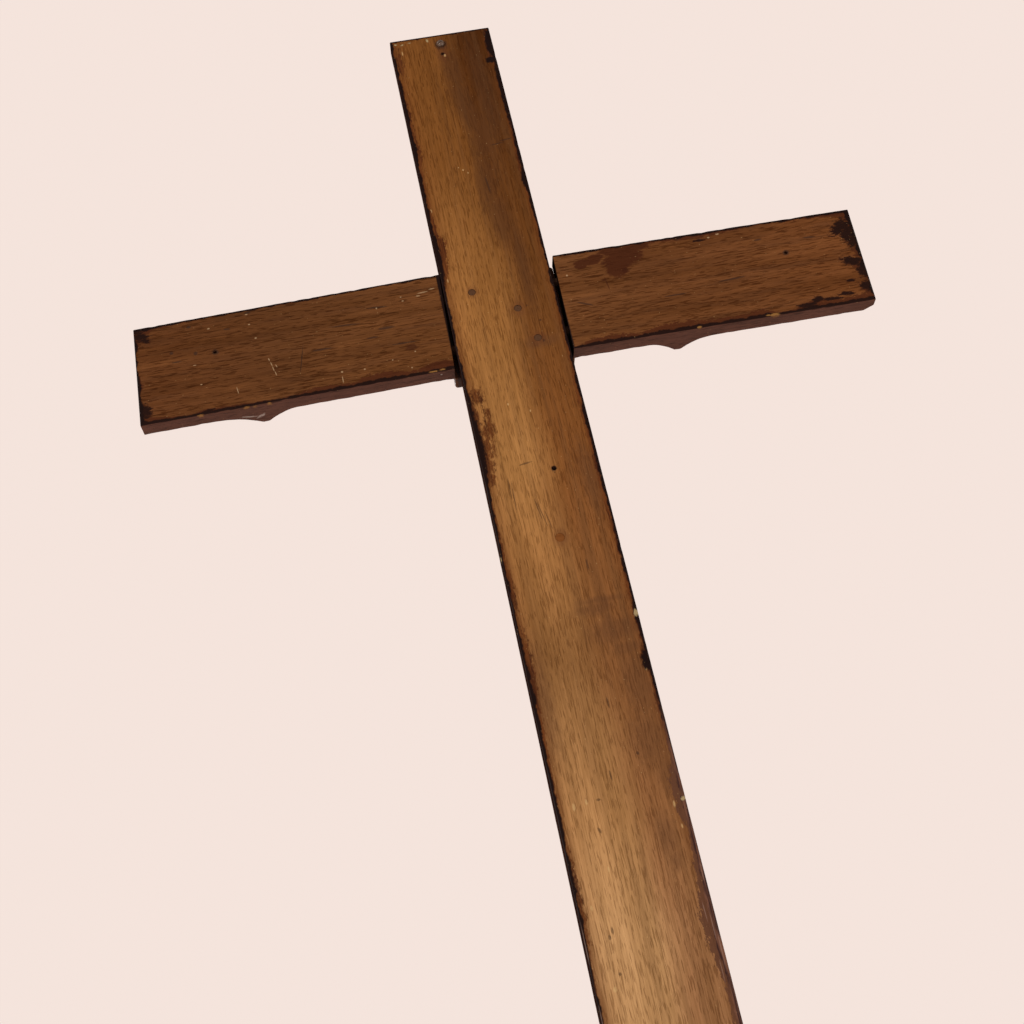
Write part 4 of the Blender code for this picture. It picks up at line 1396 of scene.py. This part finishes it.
# %% Ends and blots on the arms
left_end = left_corners[1][:, 0].mean()
right_end = right_corners[1][:, 0].mean()
end_gap = calc(tree, "MINIMUM", calc(tree, "SUBTRACT", x, left_end),
               calc(tree, "SUBTRACT", right_end, x))
end_bits = stretched(tree, place, (3, 0, 84), detail=3, rough=0.6)
on_right = calc(tree, "GREATER_THAN", x, 0.0)
widest = calc(tree, "MULTIPLY_ADD", on_right, 6.5 * MM, 5.0 * MM)
end_band = use(tree, BAND, Distance=end_gap, Ragged=ragged, Wave=end_bits,
               Width=fade(tree, end_bits, 0.34, 0.68, 0.8 * MM, widest))
inner_gap = calc(tree, "SUBTRACT", calc(tree, "ABSOLUTE", x), half_width + 2.4 * MM)
inner_band = use(tree, BAND, Distance=inner_gap, Ragged=ragged, Width=1.2 * MM, Wave=0.4)
blots = marks(tree, place, ragged, 1.1, [
    (290, 27, 10, 6, 34), (294, 20, 7, 8, 0), (296, 12, 4.4, 7, 0), (290, -8, 9, 4.4, -14),
    (297, -18, 5, 8, 0), (284, -26, 3, 1.4, 0), (296, -34, 7, 5, -20), (276, -38, 6, 1.8, -8),
    (251, -39, 4, 3.0, 20), (242, -43, 8, 2.4, 0), (262, -40.5, 9, 1.4, -4), (-291, 33, 8, 5, -35),
    (-293, -37, 4.6, 6, 20), (-245, -45.5, 5, 1.6, 0), (172, 36.5, 5, 1.2, 0)], soft=0.35)
rim = largest(tree, upper_band["Rim"], lower_band["Rim"], end_band["Rim"], blots)
core = largest(tree, upper_band["Core"], calc(tree, "MULTIPLY", lower_band["Core"], 0.95),
               end_band["Core"], inner_band["Core"], calc(tree, "MULTIPLY", blots, 0.90))
print("with ends:", len(tree.nodes), "nodes")

# %% [markdown]
# ## The arms' coat
#
# The coat goes on as it did on the upright. The faces that look into the joint see no light, and
# a painted shade lays them near-black over the varnish there.

# %% The arms' coat
side = fade(tree, y, back_y + 0.12 * MM, back_y + 0.55 * MM)
cover = varnished(tree, shader, wood, grain, rim, core, side, grime, ragged_fine,
                  (0.056, 0.0155, 0.0055))
# Painted shade: the faces inside the joint between arm and upright are laid near-black.
joint_painted_shade = fade(tree, calc(tree, "ABSOLUTE", x), half_width + 7 * MM, half_width + 5 * MM)
faces = facing(tree)
joint_painted_shade = calc(tree, "MULTIPLY", joint_painted_shade, fade(tree, calc(tree, "ABSOLUTE", faces[0]), 0.4, 0.8))
wash_over(tree, shader, joint_painted_shade, 1.0, (0.004, 0.002, 0.0016))
print("with the coat:", len(tree.nodes), "nodes")

# %% [markdown]
# ## Knocks on the arms
#
# The lower arris is chipped to the yellow wood. The underside is scraped too, and its scrapes
# are placed by depth instead of height, because there the surface faces down.

# %% Knocks on the arms
chips = marks(tree, place, ragged, 0.8, [
    (-215, -48.4, 2.6, 0.9, 0), (-208, -48.6, 2.4, 0.8, 0), (-197, -48.1, 2, 0.9, 0),
    (151, -46.0, 1.8, 0.8, 0), (213.6, -46.2, 3.6, 1.2, 0), (208, -46, 2, 0.7, 0),
    (-66, -45.0, 3.4, 0.7, 0), (-59, -44.4, 2.2, 0.7, 0), (-251, -48.2, 2, 0.7, 0)], soft=0.4)
chips = calc(tree, "MULTIPLY", chips, on_the_back(tree, y))
wash_over(tree, shader, chips, 0.55, (0.34, 0.165, 0.045))
from_below = add(tree, "CombineXYZ", x, 0.0, calc(tree, "ADD", y, crossing_z)).outputs[0]
scrapes = marks(tree, from_below, ragged, 0.9, [
    (-215, 8, 7, 0.9, 12), (-207, 10, 3.0, 1.2, -40), (-204.6, 9, 3.0, 1.0, -50),
    (-60, -3, 1.0, 0.7, 0)], soft=0.4)
scrapes = calc(tree, "MULTIPLY", scrapes, fade(tree, faces[2], -0.4, -0.8))
wash_over(tree, shader, scrapes, 0.55, (0.42, 0.36, 0.33))
board_relief(tree, shader, grain, cover, ragged_fine, cracks_and_painted_shade, chips)
for piece in (left_arm, right_arm):
    piece.data.materials.append(arm)
print("arm nodes:", len(tree.nodes))

# %% [markdown]
# ## The block's finish
#
# The block on the crossing is handled most, so its varnish is rubbed thin along its edge and
# stays black in the groove. Both are measured as a square: the larger of the distances from the
# middle across and up.

# %% Block
walnut, tree, shader, place = start("block_wood", Coat_Roughness=0.34, Specular_IOR_Level=0.0)
parts = add(tree, "SeparateXYZ", place).outputs
grain = use(tree, GRAIN, Place=place)
grime = use(tree, GRIME, Place=place)
away_x = calc(tree, "ABSOLUTE", parts[0])
away_z = calc(tree, "ABSOLUTE", calc(tree, "SUBTRACT", parts[2], crossing_z))
square = calc(tree, "MAXIMUM", away_x, away_z)
edge = (block_high.x - block_low.x) / 2
rubbed = fade(tree, square, edge - 4 * MM, edge - 0.6 * MM)
rubbed = calc(tree, "MULTIPLY", rubbed, fade(tree, grain["Fibre"], 0.35, 0.60))
groove = fade(tree, calc(tree, "ABSOLUTE", calc(tree, "SUBTRACT", square, edge - GROOVE_INSET)),
              1.6 * MM, 0.5 * MM)
tone = paint(tree, fade(tree, grain["Figure"], 0.35, 0.65), (0.020, 0.0085, 0.0058),
             (0.042, 0.0165, 0.0095))
tone = wash(tree, rubbed, 0.65, tone, (0.150, 0.058, 0.021))
tone = wash(tree, grain["Pores"], 0.6, tone, VARNISH_CORE)
tone = wash(tree, groove, 0.8, tone, VARNISH_CORE)
tone = wash(tree, grime["Dust"], 0.3, tone, DUST)
feed(tree, shader.inputs["Base Color"], tone)
dull = calc(tree, "MULTIPLY_ADD", rubbed, 0.2, calc(tree, "MULTIPLY_ADD", grime["Cloud"], 0.15,
                                                    0.32))
feed(tree, shader.inputs["Roughness"], dull)
feed(tree, shader.inputs["Coat Weight"], calc(tree, "MULTIPLY_ADD", rubbed, -0.2, 0.22))
raise_by(tree, shader, grain["Height"], BOARD_RELIEF)
block.data.materials.append(walnut)
print("block nodes:", len(tree.nodes))

# %% [markdown]
# ## Plain wood for the dowels and the plug
#
# Neither was ever varnished. The dowels are dark with age and glue, and the plug was stained to
# match the board. The grain is shifted on the plug so that it shows another part of the noise.

# %% Dowels and plug
def plain_wood(name, pale, deep, shift):
    """Fine straight-grained wood that runs along X or Y: fibre and pores over two tones."""
    material, tree, shader, place = start(name, Specular_IOR_Level=0.0)
    along = turn_along_x(tree, aim(tree, "ADD", place, (shift, 0, 0)))
    grain = use(tree, GRAIN, Place=along)
    grime = use(tree, GRIME, Place=along)
    tone = paint(tree, fade(tree, grain["Fibre"], 0.3, 0.7), deep, pale)
    tone = wash(tree, grime["Cloud"], 0.5, tone, deep)
    tone = wash(tree, grain["Pores"], 0.6, tone, INK)
    feed(tree, shader.inputs["Base Color"], tone)
    feed(tree, shader.inputs["Roughness"], fade(tree, grain["Fibre"], 0.2, 0.8, 0.72, 0.5))
    raise_by(tree, shader, grain["Height"], 0.18 * MM)
    return material


dowel_finish = plain_wood("dowel_wood", (0.045, 0.022, 0.013), (0.020, 0.010, 0.007), 0.0)
plug_finish = plain_wood("plug_wood", (0.190, 0.068, 0.0175), (0.110, 0.036, 0.0100), 0.4)
plug.data.materials.append(plug_finish)
print("plain wood nodes:", len(plug_finish.node_tree.nodes), "each")

# %% [markdown]
# ## Old iron and steel
#
# The nails were hammered and have rusted to a dull grey-brown. The hanging screw is machine-made
# steel, brighter and less rusted. Both are metal only where they are clean: rust is a mask that
# takes Metallic down and Roughness up together.

# %% Metals
def old_metal(name, clean, rust, rusted, scale, bare):
    """Metal under patchy rust: rusted shifts the noise, bare is Metallic where it is clean."""
    material, tree, shader, place = start(name, Specular_IOR_Level=0.1)
    patch = noise(tree, place, scale=scale, detail=5, rough=0.65)
    fine = noise(tree, place, scale=scale * 4.5, detail=3, rough=0.6)
    mask = fade(tree, calc(tree, "ADD", patch, rusted), 0.46, 0.62)
    tint = paint(tree, fade(tree, fine, 0.35, 0.65), rust, tuple(1.9 * part for part in rust))
    metal = paint(tree, fade(tree, fine, 0.3, 0.7), clean, tuple(0.6 * part for part in clean))
    feed(tree, shader.inputs["Base Color"], paint(tree, mask, metal, tint))
    feed(tree, shader.inputs["Metallic"], calc(tree, "MULTIPLY_ADD", mask, -0.9 * bare, bare))
    feed(tree, shader.inputs["Roughness"], calc(tree, "MULTIPLY_ADD", mask, 0.4, 0.36))
    raise_by(tree, shader, calc(tree, "MULTIPLY_ADD", mask, 0.5, fine), 0.12 * MM)
    return material


nail_finish = old_metal("nail_iron", (0.052, 0.030, 0.017), (0.046, 0.0200, 0.0085), 0.28, 900, 0.4)
screw_finish = old_metal("screw_steel", (0.20, 0.16, 0.13), (0.060, 0.032, 0.020), 0.06, 700, 0.95)
for nail, _ in nails:
    nail.data.materials.append(nail_finish)
screw.data.materials.append(screw_finish)
print("metal nodes:", len(nail_finish.node_tree.nodes), "each")

# %% [markdown]
# ## Riding, replacing and slots
#
# The cross is one rigid thing, so every piece rides on the one body. Each new piece says which
# plain node it stands for and which finish it takes. The dowels are the right shape already and
# hidden in the wood, so they stay and only get their finish.

# %% Telling the frame
WORN = [(upright, "upright_board", "upright_oak"), (left_arm, "left_arm", "arm_oak"),
        (right_arm, "right_arm", "arm_oak"), (block, "crossing_block", "block_wood"),
        (plug, "wood_plug", "plug_wood"), (screw, "hanging_screw", "screw_steel")]
WORN += [(nail, node, "nail_iron") for nail, node in nails]
for piece, node, finish in WORN:
    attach(piece, "root")
    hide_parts(node)
for name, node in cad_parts.items():
    if "dowel" in name:
        for socket in node.material_slots:
            socket.material = dowel_finish
print("pieces:", len(WORN), "and the dowels")

# %% [markdown]
# ## Floor, sky and light
#
# A pale floor and a pale surround light the cross softly from everywhere. Three wide lamps are
# added: a key and a weaker fill on the back's two sides, and one on the front. They are suns, so
# that the whole floor is lit alike and melts into the surround behind the cross.

# %% Floor
def floor_mesh(reach, steps):
    """A flat square grid just under the foot."""
    side = np.linspace(-reach, reach, steps)
    gx, gy = np.meshgrid(side, side, indexing="ij")
    points = np.stack([gx, gy, np.full_like(gx, -0.0005)], axis=-1).reshape(-1, 3)
    index = np.arange(steps * steps).reshape(steps, steps)
    faces = np.stack([index[:-1, :-1], index[1:, :-1], index[1:, 1:], index[:-1, 1:]], axis=-1)
    mesh = bpy.data.meshes.new("floor")
    mesh.from_pydata(points, [], faces.reshape(-1, 4))
    floor = bpy.data.objects.new("floor", mesh)
    scene.collection.objects.link(floor)
    return floor


floor = floor_mesh(reach=60.0, steps=9)
linen, tree, shader, place = start("pale_floor", Roughness=0.85)
weave = noise(tree, place, scale=180, detail=2)
feed(tree, shader.inputs["Base Color"],
     paint(tree, fade(tree, weave, 0.3, 0.7), (0.84, 0.725, 0.665), (0.88, 0.755, 0.695)))
floor.data.materials.append(linen)
floor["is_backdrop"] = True
print("floor faces:", len(floor.data.polygons))

# %% [markdown]
# ## Lamps and surround
#
# A wide sun throws soft shadows and lights near and far alike. The surround has two colours: a
# greyer one that lights the wood, and a paler one that only the camera sees.

# %% Lamps and surround
def far_lamp(name, place, strength, colour):
    """A wide soft lamp so far off that the whole floor is lit alike."""
    data = bpy.data.lights.new(name, "SUN")
    data.angle = math.radians(26)
    data.energy = strength
    data.color = colour
    lamp = bpy.data.objects.new(name, data)
    lamp.location = place
    lamp.rotation_mode = "QUATERNION"
    lamp.rotation_quaternion = (-Vector(place)).to_track_quat("-Z", "Y")
    scene.collection.objects.link(lamp)


far_lamp("key", (-2.7, -2.6, 1.15), 2.35, (1.0, 0.98, 0.96))
far_lamp("fill", (2.9, -2.6, 0.65), 1.06, (1.0, 0.98, 0.97))
far_lamp("front", (-1.6, 3.0, 1.35), 3.4, (1.0, 0.98, 0.96))

world = bpy.data.worlds.new("surround")
scene.world = world
world.use_nodes = True
sky = world.node_tree
seen = add(sky, "LightPath").outputs["Is Camera Ray"]
glow = sky.nodes["Background"]
surround = paint(sky, seen, (0.38, 0.355, 0.34), (0.91, 0.775, 0.715))
feed(sky, glow.inputs["Color"], surround)
scene.view_settings.view_transform = "Standard"

# %% [markdown]
#
# Both boxes, of the working model and of the finished cross, are printed one after the other.
# New surfaces must not make the cross bigger than its working model.

# %% Print the boxes
worn_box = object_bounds()
({"cad": [list(corner) for corner in cad_box],
           "visual": [list(corner) for corner in worn_box]})
for name, corners in (("working model", cad_box), ("finished", worn_box)):
    print(name, [[round(value * 1000, 2) for value in corner] for corner in corners])
